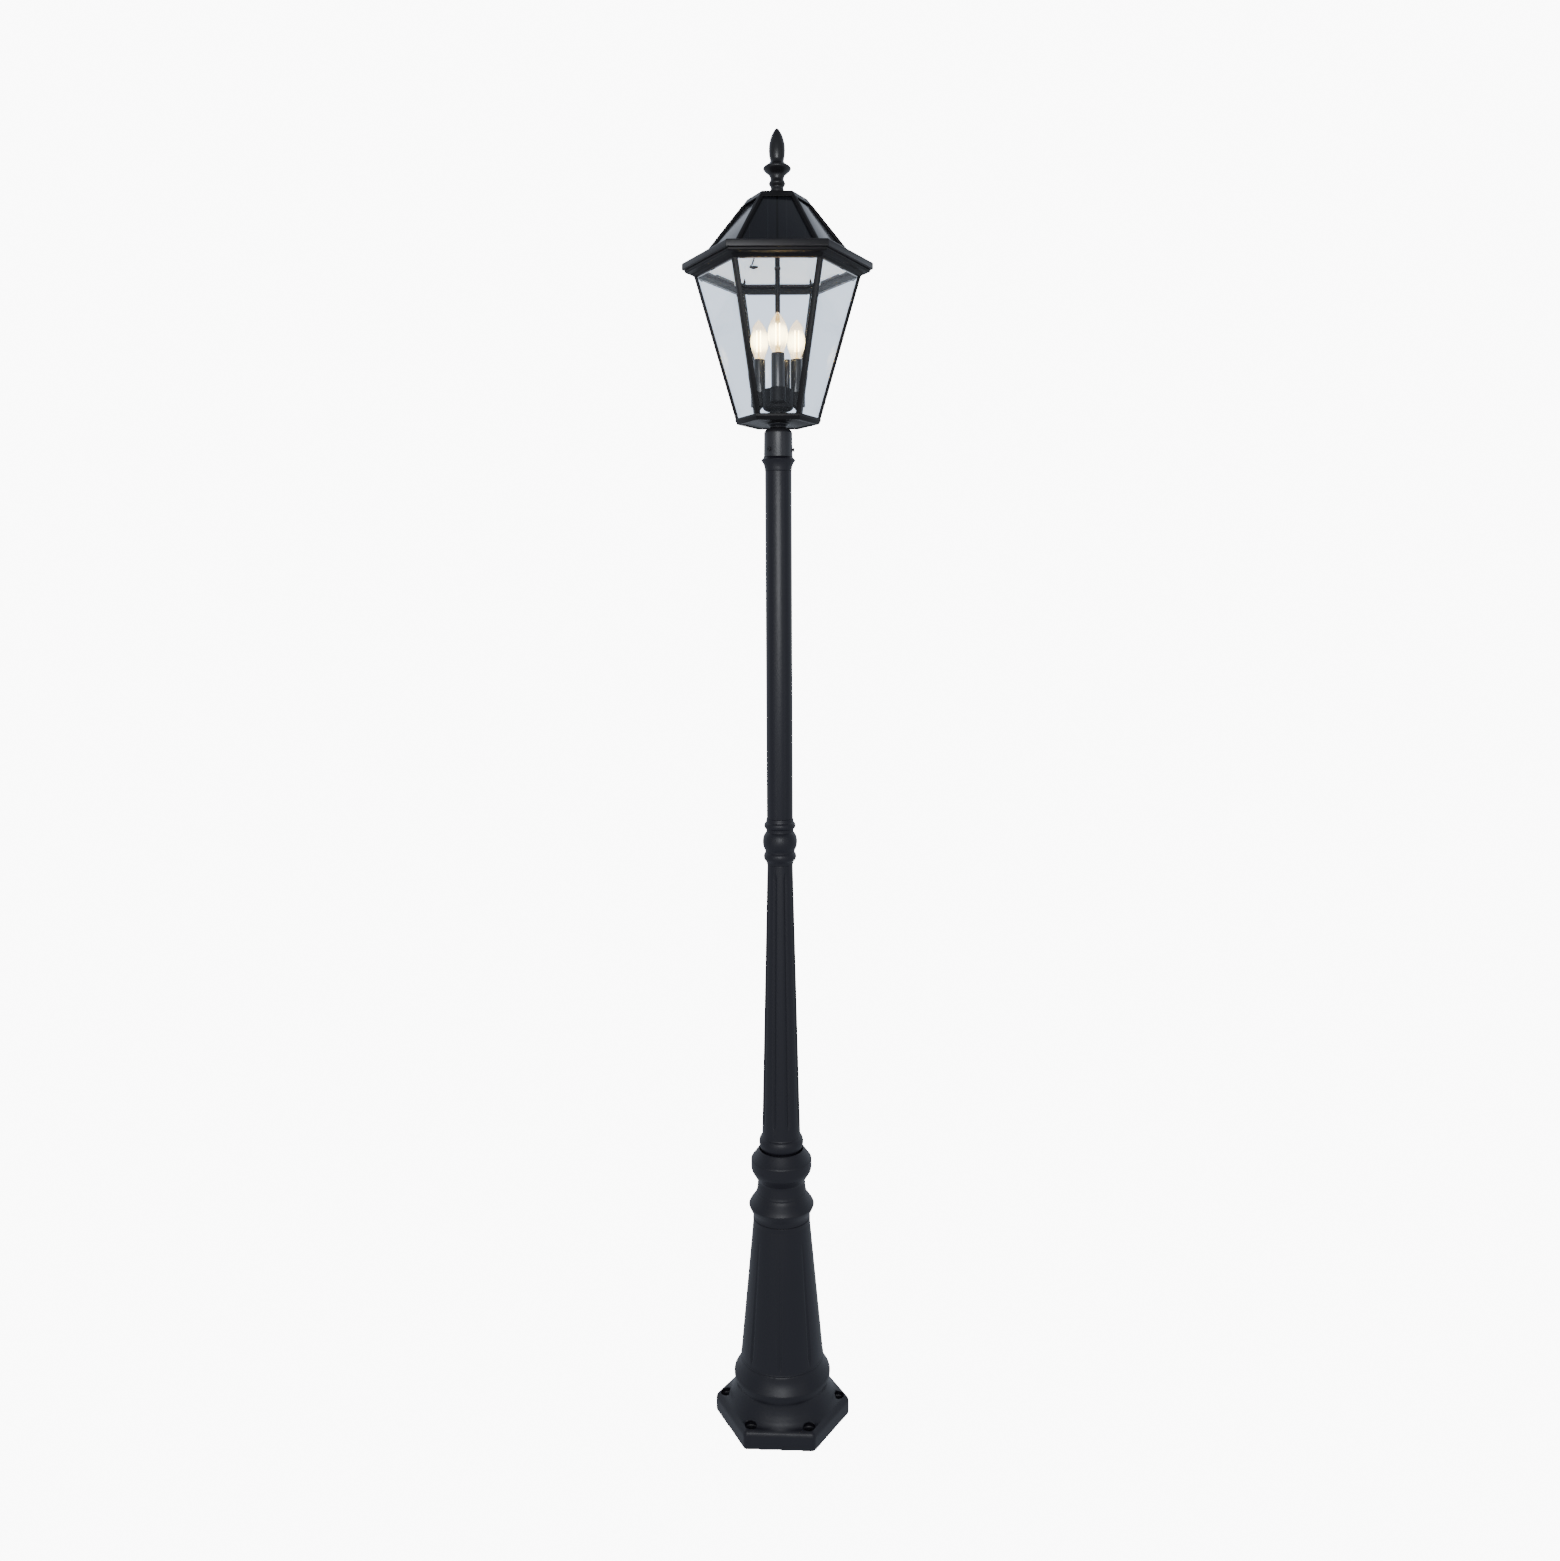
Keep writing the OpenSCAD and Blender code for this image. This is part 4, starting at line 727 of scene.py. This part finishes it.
def flute_tree():
    """Shallow rounded flutes pressed into a turned shaft, running out to points at both ends."""
    tree, entry, leave = node_tree("flutes", [
        ("Count", "NodeSocketInt"), ("Phase", "NodeSocketFloat"), ("Half width", "NodeSocketFloat"),
        ("Depth", "NodeSocketFloat"), ("Low end", "NodeSocketFloat"), ("High end", "NodeSocketFloat"),
        ("Run-out", "NodeSocketFloat"), ("Least radius", "NodeSocketFloat"),
        ("Material", "NodeSocketMaterial")])
    link = tree.links.new

    def calc(operation, first, second=0.0, clamp=False):
        return math_node(tree, operation, first, second, clamp)

    x, y, z = axes(tree, tree.nodes.new("GeometryNodeInputPosition").outputs[0])
    reach = calc("SQRT", calc("ADD", calc("MULTIPLY", x, x), calc("MULTIPLY", y, y)))
    angle = calc("SUBTRACT", calc("ARCTAN2", y, x), entry.outputs["Phase"])
    sector = calc("DIVIDE", math.tau, entry.outputs["Count"])
    turns = calc("DIVIDE", angle, sector)
    part = calc("SUBTRACT", calc("FRACT", calc("ADD", turns, 64.5)), 0.5)
    aside = calc("MULTIPLY", calc("ABSOLUTE", calc("MULTIPLY", part, sector)), reach)
    run_out = entry.outputs["Run-out"]
    low = calc("DIVIDE", calc("SUBTRACT", z, entry.outputs["Low end"]), run_out, clamp=True)
    high = calc("DIVIDE", calc("SUBTRACT", entry.outputs["High end"], z), run_out, clamp=True)
    share = calc("SQRT", calc("MULTIPLY", low, high))
    width = calc("MAXIMUM", calc("MULTIPLY", entry.outputs["Half width"], share), 0.00001)
    across = calc("DIVIDE", aside, width, clamp=True)
    bowl = calc("MULTIPLY", calc("ADD", calc("COSINE", calc("MULTIPLY", across, math.pi)), 1.0), 0.5)
    outside = calc("GREATER_THAN", reach, entry.outputs["Least radius"])
    depth = calc("MULTIPLY", calc("MULTIPLY", bowl, entry.outputs["Depth"]),
                 calc("MULTIPLY", share, outside))
    shrink = calc("DIVIDE", depth, calc("MAXIMUM", reach, 0.001))
    push = tree.nodes.new("ShaderNodeCombineXYZ")
    link(calc("MULTIPLY", calc("MULTIPLY", x, shrink), -1.0), push.inputs["X"])
    link(calc("MULTIPLY", calc("MULTIPLY", y, shrink), -1.0), push.inputs["Y"])
    move = tree.nodes.new("GeometryNodeSetPosition")
    link(entry.outputs["Geometry"], move.inputs["Geometry"])
    link(push.outputs[0], move.inputs["Offset"])
    hand_out(tree, move.outputs[0], entry, leave)
    return tree


TREES = {"ring": ring_tree(), "flutes": flute_tree()}


def ring_of(name, template, count, material, start=0.0):
    """A ring of copies of a template mesh, as one plain mesh."""
    piece = bpy.data.objects.new(name + "_template", template)
    scene.collection.objects.link(piece)
    holder = bpy.data.objects.new(name, bpy.data.meshes.new(name))
    scene.collection.objects.link(holder)
    ring = holder.modifiers.new("ring", "NODES")
    ring.node_group = TREES["ring"]
    set_inputs(ring, {"Piece": piece, "Count": count, "Start": start, "Material": material})
    mesh = baked(holder)
    bpy.data.objects.remove(piece)
    return mesh


def fluted(mesh, material, phase, low, high, least_radius, half_width=5.0, depth=2.2, run_out=14.0):
    """A turned shaft's mesh with its flutes pressed in."""
    shaft = mesh_object("shaft", mesh, material)
    press = shaft.modifiers.new("flutes", "NODES")
    press.node_group = TREES["flutes"]
    set_inputs(press, {
        "Count": FLUTES, "Phase": phase, "Half width": half_width * MM, "Depth": depth * MM,
        "Low end": low * MM, "High end": high * MM, "Run-out": run_out * MM,
        "Least radius": least_radius * MM, "Material": material})
    return baked(shaft)


def levels(low, high, run_out=14.0, steps=7):
    """Heights at which a fluted shaft needs a ring of points."""
    ends = [low + run_out * i / steps for i in range(steps + 1)]
    return ends + [high - run_out * (steps - i) / steps for i in range(steps + 1)]


def on_taper(r0, z0, r1, z1, heights):
    """Points of a straight taper at some heights."""
    return [(r0 + (r1 - r0) * (z - z0) / (z1 - z0), z) for z in heights]


# The post: heights come from the frame, radii and depths in millimetres from the CAD's own
CAST_WALL = 6.0
MOUTH_DEPTH = 13.0
MOVING_GAP = 0.3
TUBE_R = 24.0
TUBE_BORE_R = 21.5
SLEEVE_R = 21.4
SLEEVE_H = 50.0
TENON_R = 22.0
TENON_H = 41.0
CUP_BORE_R = 22.06
Z_SHAFT = bottom("base_shaft")
Z_COLLAR = top("base_shaft")
Z_COLUMN = top("bowl_collar") - MOUTH_DEPTH
Z_RIM = top("bowl_collar")
Z_KNUCKLE = top("column")
Z_TUBE = bottom("upper_tube")
Z_FLANGE = top("upper_tube")
Z_TENON = bottom("fitter") - MOVING_GAP
SHAFT_R0 = 77.5
SHAFT_R1 = 52.5
COLUMN_R0 = 35.3
COLUMN_R1 = 23.5
NECK_R = 44.2


def make_foot():
    """The foot's casting, with every edge rounded as sand casting and thick paint leave it."""
    obj = mesh_object("foot_cast", merged_copy("foot"), MATERIALS["post_casting"])
    skin = obj.modifiers.new("skin", "REMESH")
    skin.mode = "VOXEL"
    skin.voxel_size = 2.0 * MM
    smooth = obj.modifiers.new("smooth", "SMOOTH")
    smooth.factor = 0.5
    smooth.iterations = 4
    mesh = baked(obj)
    shade(mesh, 60)
    place("foot_cast", mesh, "post", "post_casting", ["foot"])


def make_base_shaft():
    """The fluted cone on the foot."""
    low, high = Z_SHAFT + 8.0, Z_COLLAR - 22.0
    wall = CAST_WALL + 2.2
    outer = [(SHAFT_R0 + 0.2, Z_SHAFT), (SHAFT_R0 + 0.2, Z_SHAFT + 2)]
    outer += on_taper(SHAFT_R0, Z_SHAFT, SHAFT_R1, Z_COLLAR, [Z_SHAFT + 3] + levels(low, high))
    outer += [(SHAFT_R1 + 0.76, Z_COLLAR - 8), (SHAFT_R1 + 1, Z_COLLAR - 3), (SHAFT_R1 + 1, Z_COLLAR)]
    inner = [(SHAFT_R1 - wall, Z_COLLAR), (SHAFT_R0 - wall, Z_SHAFT)]
    mesh = lathe("base_shaft_cast", rounded(outer + inner, 0.8), 480)
    mesh = fluted(mesh, MATERIALS["post_casting"], FOOT_TURN, low, high, SHAFT_R0 - wall + 2)
    shade(mesh, 40)
    place("base_shaft_cast", mesh, "post", "post_casting", ["base_shaft"])


def make_bowl_collar():
    """Ring, neck and the open bowl that the column stands in."""
    ring_r, ring_h = 61.0, 52.0
    z_neck = Z_COLLAR + ring_h
    bowl_r, rim_r = 56.5, 43.5
    z_bowl = z_neck + 16.0
    bowl_h = Z_RIM - z_bowl - 1.0
    edge = [(6.6, 0.192), (4.4, 0.269), (2.5, 0.346), (0.7, 0.423), (0, 0.471), (1.2, 0.519), (2.6, 0.567),
            (4.3, 0.615), (8, 0.712), (11.6, 0.808), (13.2, 0.865)]
    sweep = [(0.03, 0.065), (0.27, 0.145), (0.51, 0.226), (0.78, 0.306), (0.94, 0.387), (1, 0.45)]
    outer = [(SHAFT_R1 + 0.5, Z_COLLAR), (SHAFT_R1 + 0.6, Z_COLLAR + ring_h * 0.096)]
    outer += [(ring_r - u, Z_COLLAR + ring_h * v) for u, v in edge]
    outer += [(NECK_R + 2.8, z_neck - 5.5), (NECK_R + 2.8, z_neck - 3.5), (NECK_R + 1.6, z_neck)]
    outer += [(NECK_R + 0.6, z_neck + 8.5), (NECK_R, z_bowl)]
    outer += [(NECK_R + (bowl_r - NECK_R) * u, z_bowl + bowl_h * v) for u, v in sweep]
    outer += [(bowl_r, Z_RIM - 20), (bowl_r - 1, Z_RIM - 18), (bowl_r - 4.4, Z_RIM - 14)]
    outer += [(bowl_r - 7.9, Z_RIM - 9), (rim_r + 2.5, Z_RIM - 5.5), (rim_r + 0.8, Z_RIM - 3)]
    outer += [(rim_r - 0.6, Z_RIM - 1), (rim_r - 1.6, Z_RIM)]
    outer += [(rim_r - 2.6, Z_RIM)]
    mouth = [(rim_r - 3.5, Z_RIM - 1.2), (rim_r - 3.5, Z_COLUMN), (30.3, Z_COLUMN), (30.3, Z_COLUMN - 28)]
    inner = [(NECK_R - CAST_WALL, Z_COLUMN - 28), (NECK_R - CAST_WALL, Z_COLLAR - 12)]
    spigot = [(42.7, Z_COLLAR - 12), (42.7, Z_COLLAR)]
    mesh = lathe("bowl_collar_cast", rounded(outer + mouth + inner + spigot, 1.4, 5), 200)
    place("bowl_collar_cast", mesh, "post", "post_casting", ["bowl_collar"])


def make_column():
    """The tall fluted taper."""
    ring_z = Z_RIM + 12.0
    top_z = ring_z + 14.0
    low, high = top_z + 19.0, Z_KNUCKLE - 11.0
    outer = [(COLUMN_R0, Z_COLUMN), (COLUMN_R0, ring_z - 12)]
    outer += arc(COLUMN_R0, ring_z, radius("column") - COLUMN_R0, 12, -60, 80, 18)
    outer += [(COLUMN_R0 + 0.3, top_z)]
    outer += on_taper(COLUMN_R0 + 0.3, top_z, COLUMN_R1, Z_KNUCKLE - 2, levels(low, high))
    outer += [(COLUMN_R1, Z_KNUCKLE - 2), (COLUMN_R1, Z_KNUCKLE)]
    inner = [(18.1, Z_KNUCKLE), (18.1, Z_KNUCKLE - 31), (23.5, Z_COLUMN), (23.5, Z_COLUMN - 24)]
    spigot = [(30.1, Z_COLUMN - 24), (30.1, Z_COLUMN)]
    mesh = lathe("column_cast", rounded(outer + inner + spigot, 0.7), 384)
    mesh = fluted(mesh, MATERIALS["post_casting"], math.pi / FLUTES, low, high, 23.6, half_width=4.6)
    shade(mesh, 40)
    place("column_cast", mesh, "post", "post_casting", ["column"])


def make_knuckle():
    """The ball between two rings, with its sleeve inside the tube."""
    height = Z_TUBE - Z_KNUCKLE
    ball_r, neck_r, waist_r = 31.7, 25.2, 27.1
    low_z, ball_z, ring_z = (Z_KNUCKLE + height * share for share in (0.18, 0.5, 0.85))
    outer = [(COLUMN_R1 + 0.6, Z_KNUCKLE), (COLUMN_R1 + 1.2, Z_KNUCKLE + 4)]
    outer += arc(COLUMN_R1 + 1, low_z, 29.9 - COLUMN_R1 - 1, height * 0.1, -70, 62, 14)
    outer += [(waist_r, low_z + height * 0.1)]
    outer += arc(ball_r - 11, ball_z, 11, height * 0.23, -52, 66, 20)
    outer += [(neck_r, ring_z - 6)]
    outer += arc(neck_r, ring_z, 28.9 - neck_r, height * 0.07, -78, 78, 12)
    outer += [(neck_r, Z_TUBE - 4), (24.8, Z_TUBE), (SLEEVE_R, Z_TUBE), (SLEEVE_R, Z_TUBE + SLEEVE_H)]
    inner = [(17.5, Z_TUBE + SLEEVE_H), (17.5, Z_KNUCKLE - 24), (18.0, Z_KNUCKLE - 24), (18.0, Z_KNUCKLE)]
    mesh = lathe("knuckle_cast", rounded(outer + inner, 0.8), 160)
    place("knuckle_cast", mesh, "post", "post_casting", ["knuckle"])


def make_tube():
    """The plain tube."""
    profile = [(TUBE_R, Z_TUBE), (TUBE_R, Z_FLANGE), (TUBE_BORE_R, Z_FLANGE), (TUBE_BORE_R, Z_TUBE)]
    mesh = lathe("tube_steel", rounded(profile, 0.5), 160)
    place("tube_steel", mesh, "post", "tube_steel", ["upper_tube"])


def make_top_collar():
    """The flange on the tube, and the tenon that the lantern turns on."""
    outer = [(TUBE_R, Z_FLANGE), (24.8, Z_FLANGE + 7), (25.8, Z_FLANGE + 11), (27.4, Z_FLANGE + 15)]
    outer += [(30.3, Z_FLANGE + 19), (31.0, Z_FLANGE + 20), (29.9, Z_TENON - 3.5), (26.6, Z_TENON)]
    outer += [(TENON_R, Z_TENON), (TENON_R, Z_TENON + TENON_H)]
    inner = [(17.0, Z_TENON + TENON_H), (17.0, Z_FLANGE - 40), (SLEEVE_R, Z_FLANGE - 40), (SLEEVE_R, Z_FLANGE)]
    mesh = lathe("top_collar_cast", rounded(outer + inner, 0.9), 160)
    place("top_collar_cast", mesh, "post", "post_casting", ["top_collar"])


# The lantern's head. The panes' polished bevel: width and depth in millimetres
PANE_BEVEL_W = 11.0
PANE_BEVEL_D = 0.9


def make_fitter():
    """The cup under the lantern."""
    z_cup, z_floor = bottom("fitter"), bottom("lantern_floor")
    cup_top = z_cup + 51.0
    outer = [(26.4, z_cup), (26.0, z_cup + 3), (25.4, cup_top - 12)]
    outer += arc(17.4, cup_top - 9, 8, 8, 0, 60, 8)
    outer += [(16.0, cup_top), (15.0, cup_top + 1.6), (15.0, cup_top + 3), (19.5, z_floor - 1.6)]
    outer += [(20.5, z_floor), (8.0, z_floor), (8.0, z_floor + 14), (4.6, z_floor + 14), (4.6, cup_top - 6)]
    inner = [(CUP_BORE_R, cup_top - 8.8), (CUP_BORE_R, z_cup)]
    mesh = lathe("fitter_cast", rounded(outer + inner, 0.8), 160)
    place("fitter_cast", mesh, "head", "post_casting", ["fitter"], FITTER_COAT_PAINTED_SHEEN)


def make_cage():
    """Corner posts, floor, rings and panes. The panes let light pass without catching it."""
    posts = softened("corner_post_1", 0.5)
    posts = ring_of("corner_posts_folded", posts, SIX, MATERIALS["lantern_casting"])
    place("corner_posts_folded", posts, "head", "lantern_casting", numbered("corner_post"), CAGE_COAT)
    for node, edge in (("lantern_floor", 0.3), ("bottom_ring", 0.4), ("top_ring", 0.4)):
        place(node + "_cast", softened(node, edge, 3), "head", "lantern_casting", [node], CAGE_COAT)
    glass = ring_of("panes_cut", bevelled_pane(), SIX, MATERIALS["clear_glass"])
    panes = place("panes_cut", glass, "head", "clear_glass", numbered("pane"))
    panes.visible_shadow = panes.visible_diffuse = panes.visible_glossy = False


def bevelled_pane():
    """One pane with a wide polished bevel round its outer face."""
    bm = edit_copy("pane_1")
    face = largest_face(bm, Vector((0, -1, 0)))
    normal = face.normal.copy()
    rim = list(face.verts)
    bmesh.ops.inset_region(bm, faces=[face], thickness=PANE_BEVEL_W * MM, use_even_offset=True)
    for vert in rim:
        vert.co -= normal * PANE_BEVEL_D * MM
    return to_mesh(bm, "pane")


def make_candles():
    """The lamp bowl with its lobes and lid, the sleeves, and the rod, tube, nuts and screws."""
    z_top = bottom("cluster_cover")
    z_inside = bottom("cluster_body")
    bowl_r, stem_r = 28.2, 15.3
    reach, lobe_r = 39.5, 13.8
    front = -math.pi / 2
    bowl = [(0, z_inside), (stem_r + 5, z_inside), (stem_r + 4.4, z_inside + 2), (stem_r + 0.6, z_inside + 5)]
    bowl += [(stem_r, z_inside + 8), (stem_r, z_top - 38)]
    bowl += arc(stem_r, z_top - 28, bowl_r - stem_r, 10, -80, 0, 12)
    bowl += [(bowl_r, z_top), (24.6, z_top), (24.6, z_top - 18), (0, z_top - 18)]
    lobe = [(0, z_top - 26.5), (lobe_r - 2, z_top - 26.5), (lobe_r, z_top - 24.5), (lobe_r, z_top)]
    lobe += [(11.9, z_top), (11.9, z_top - 5), (0, z_top - 5)]
    metal = MATERIALS["inner_metal"]
    place("cluster_bowl", lathe("cluster_bowl", rounded(bowl, 0.7), 120), "head", "inner_metal",
          ["cluster_body"], LAMP_BLACK)
    lobes = ring_of("cluster_lobes", lathe("lobe", rounded(lobe, 0.6), 72, (reach, 0)), 3, metal, front)
    place("cluster_lobes", lobes, "head", "inner_metal", ["cluster_body"], LAMP_BLACK)
    lid = [(4.8, z_top), (27.1, z_top), (27.1, z_top + 2.4), (4.8, z_top + 2.4)]
    place("cluster_lid", lathe("cluster_lid", rounded(lid, 0.6), 120), "head", "inner_metal",
          ["cluster_cover"], LAMP_BLACK)
    z0, z1 = bottom("candle_sleeves"), top("candle_sleeves")
    sleeve = [(11.8, z0), (11.8, z1), (10.6, z1), (10.6, z0)]
    sleeves = ring_of("sleeves_drawn", lathe("sleeve", rounded(sleeve, 0.4), 72, (reach, 0)), 3, metal, front)
    place("sleeves_drawn", sleeves, "head", "inner_metal", ["candle_sleeves"])
    rod = [(2.25, bottom("centre_rod")), (4.5, bottom("centre_rod")), (4.5, top("centre_rod")),
           (2.25, top("centre_rod"))]
    place("rod_drawn", lathe("rod_drawn", rounded(rod, 0.4), 48), "head", "inner_metal", ["centre_rod"],
          LAMP_BLACK)
    place("wire_tube_drawn", softened("wire_tube", 0.3, 2, 40), "head", "inner_metal", ["wire_tube"])
    for node, edge in (("rod_nuts", 0.4), ("set_screws", 0.3)):
        place(node + "_turned", softened(node, edge, 2, 40), "head", "dark_screws", [node])


def make_bulb(i):
    """One lit candle bulb: a thin envelope, its cap and upright filaments on a glass stem."""
    body = "bulb_%d" % i
    low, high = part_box("bulb_glass_%d" % i)
    x, y = (low[0] + high[0]) / 2 / MM, (low[1] + high[1]) / 2 / MM
    z, height = low[2] / MM, (high[2] - low[2]) / MM
    wide = (high[0] - low[0]) / 2 / MM
    shape = [(0.41, 0.0), (0.56, 0.03), (0.76, 0.16), (0.93, 0.3), (1.0, 0.42), (0.98, 0.54), (0.87, 0.66),
             (0.68, 0.78), (0.44, 0.88), (0.22, 0.95), (0.1, 0.985), (0.0, 1.0)]
    outer = smooth_curve([(u * wide, z + v * height) for u, v in shape], 4)
    inner = [(max(r - 0.8, 0.0), zz - 0.5) for r, zz in reversed(outer)]
    inner[-1] = (inner[-1][0], outer[0][1])
    envelope = lathe("bulb_envelope_%d" % i, outer + inner, 72, (x, y))
    shade(envelope, 70)
    place("bulb_envelope_%d" % i, envelope, body, "bulb_glass", ["bulb_glass_%d" % i])
    column_r, spread = 1.0, 4.6
    z0, z1 = z + height * 0.2, z + height * 0.72
    column = [(0, z0)] + arc(0, z0 + column_r, column_r, column_r, -60, 0, 4)
    column += arc(0, z1 - column_r, column_r, column_r, 0, 60, 4) + [(0, z1)]
    columns = ring_of("bulb_filament_%d" % i, lathe("led", column, 16, (spread, 0)), 4,
                      MATERIALS["bulb_filament"], math.pi / 4)
    columns.transform(Matrix.Translation((x * MM, y * MM, 0)))
    shade(columns, 60)
    place("bulb_filament_lit_%d" % i, columns, body, "bulb_filament", ["filament_%d" % i])
    stem = [(0, z), (4.2, z), (4.2, z + 2), (1.4, z + 6), (1.4, z1 - 2), (0, z1)]
    name = "bulb_stem_%d" % i
    place(name, lathe(name, rounded(stem, 0.6), 32, (x, y)), body, "bulb_glass", [], MATERIALS["bulb_brass"])


def smooth_curve(points, steps):
    """A Catmull-Rom curve through profile points."""
    out = []
    for i in range(len(points) - 1):
        p0 = Vector(points[max(i - 1, 0)])
        p1, p2 = Vector(points[i]), Vector(points[i + 1])
        p3 = Vector(points[min(i + 2, len(points) - 1)])
        for k in range(steps):
            t = k / steps
            spot = 0.5 * ((2 * p1) + (p2 - p0) * t + (2 * p0 - 5 * p1 + 4 * p2 - p3) * t ** 2
                          + (3 * p1 - p0 - 3 * p2 + p3) * t ** 3)
            out.append((max(spot.x, 0.0), spot.y))
    out.append(tuple(points[-1]))
    return out


# The roof: which way the front slope looks, and in millimetres the backing's thickness,
# how far a hip cover goes over the backings, its thickness, and how near a hip a face belongs to its bar
SLOPE_OUT = Vector((0, -0.8, 0.6))
BACKING_T = 0.8
COVER_OVERLAP = 3.5
COVER_T = 0.6
HIP_REACH = 4.0


def panel_copy():
    """An edit mesh of a panel, with its face and its back."""
    bm = edit_copy("solar_panel_1")
    return bm, largest_face(bm, SLOPE_OUT), largest_face(bm, -SLOPE_OUT)


def reach_cap(corners):
    """Draws a face's upper corners on along its side edges, up to the cap, so that no light passes there."""
    under_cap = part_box("roof_cap")[0][2]
    half = (min(v.co.z for v in corners) + max(v.co.z for v in corners)) / 2
    for vert in (v for v in corners if v.co.z > half):
        low = next(v for v in corners if v.co.z < half and v.co.x * vert.co.x > 0)
        edge = vert.co - low.co
        vert.co += edge * ((under_cap - vert.co.z) / edge.z)


def laminate_template():
    """One solar panel without its backing, with a UV map in metres across and up the slope."""
    bm, face, back = panel_copy()
    normal = face.normal.copy()
    up = Vector((1, 0, 0)).cross(normal)
    if up.z < 0:
        up = -up
    foot = min(vert.co.z for vert in face.verts)
    origin = Vector((0, sum(vert.co.y for vert in face.verts if vert.co.z < foot + 0.002) / 2, foot))
    for vert in back.verts:
        vert.co += normal * BACKING_T * MM
    for side in (face, back):
        reach_cap(list(side.verts))
    layer = bm.loops.layers.uv.new("laminate")
    for each in bm.faces:
        for loop in each.loops:
            offset = loop.vert.co - origin
            loop[layer].uv = (offset.x, offset.dot(up))
    obj = mesh_object("laminate_soft", to_mesh(bm, "laminate"), MATERIALS["solar_cells"])
    return rounded_edges(obj, 0.35, 2, 30)


def backing_template():
    """The white sheet under one panel."""
    bm, face, back = panel_copy()
    normal = face.normal.copy()
    thickness = abs((face.verts[0].co - back.verts[0].co).dot(normal))
    for vert in face.verts:
        vert.co -= normal * (thickness - BACKING_T * MM)
    return to_mesh(bm, "backing")


def hip_cover_template():
    """A white strip inside the roof, over the joint between two backings."""
    source = edit_copy("roof_hips")
    bar = (f for f in source.faces
           if abs(f.calc_center_median().y) < HIP_REACH * MM and f.calc_center_median().x > 0)
    face = min(bar, key=lambda f: f.normal.x)
    bm = bmesh.new()
    outer, inner = [], []
    for vert in face.verts:
        spot = vert.co + Vector((0, math.copysign(COVER_OVERLAP * MM, vert.co.y), 0))
        outer.append(bm.verts.new(spot))
        inner.append(bm.verts.new(spot + face.normal * COVER_T * MM))
    bm.faces.new(inner)
    bm.faces.new(outer[::-1])
    for i in range(len(outer)):
        k = (i + 1) % len(outer)
        bm.faces.new((outer[i], outer[k], inner[k], inner[i]))
    source.free()
    return finish_mesh(bm, "hip_cover")


def make_roof():
    """Eave, cap and corner bars, and the laminates with their white backs."""
    panel_nodes = numbered("solar_panel")
    coats = (("roof_eave", 0.5, None), ("roof_cap", 0.4, CAGE_COAT), ("roof_hips", 0.4, LAMP_BLACK))
    for node, edge, coat in coats:
        place(node + "_cast", softened(node, edge, 3), "roof", "lantern_casting", [node], coat)
    panels = ring_of("panels_laminated", laminate_template(), SIX, MATERIALS["solar_cells"])
    place("panels_laminated", panels, "roof", "solar_cells", panel_nodes)
    # The backings and the hip covers glow with the backing material's painted light.
    sheets = ring_of("panel_backings", backing_template(), SIX, BACKING)
    place("panel_backings", sheets, "roof", "solar_cells", panel_nodes, BACKING)
    covers = ring_of("hip_covers", hip_cover_template(), SIX, BACKING)
    place("hip_covers", covers, "roof", "solar_cells", [], BACKING)


def make_finial():
    """The turned finial with its disc and spear."""
    z = bottom("finial")
    foot_h, disc_r, spear_r = 57.0, 24.5, 14.4
    spear_h = top("finial") - z - foot_h
    foot = [(12, 0), (12, 0.1), (11.2, 0.16), (13.4, 0.23), (14.7, 0.28), (13.7, 0.33), (12, 0.4), (12.4, 0.46),
            (13.8, 0.53), (16.4, 0.58), (disc_r - 3.5, 0.65), (disc_r, 0.72), (disc_r - 0.6, 0.77),
            (disc_r - 4.2, 0.82), (15, 0.88), (12.6, 0.95), (12.3, 1.0)]
    spear = [(0.91, 0.07), (0.96, 0.13), (1.0, 0.29), (0.97, 0.46), (0.89, 0.57), (0.77, 0.69), (0.6, 0.8),
             (0.4, 0.89), (0.22, 0.96), (0.0, 1.0)]
    outer = smooth_curve([(r, z + foot_h * v) for r, v in foot], 4)
    outer += smooth_curve([(spear_r * u, z + foot_h + spear_h * v) for u, v in spear], 4)
    profile = outer + [(0, z + 17), (4.56, z + 17), (4.56, z)]
    mesh = lathe("finial_turned", profile, 120)
    shade(mesh, 50)
    place("finial_turned", mesh, "finial_top", "lantern_casting", ["finial"], FINIAL_COAT_PAINTED_SHEEN)


# Assembly
make_camera()
make_studio()
make_floor(floor_white())
for spec in SOFTBOXES:
    softbox(*spec)
for make in (make_foot, make_base_shaft, make_bowl_collar, make_column, make_knuckle, make_tube,
             make_top_collar, make_fitter, make_cage, make_candles):
    make()
for number in (1, 2, 3):
    make_bulb(number)
    bulb_light(number)
make_roof()
make_finial()

for name, obj in NODES.items():
    obj.data.materials.clear()
    obj.data.materials.append(MATERIALS[SLOT_OF[name]])
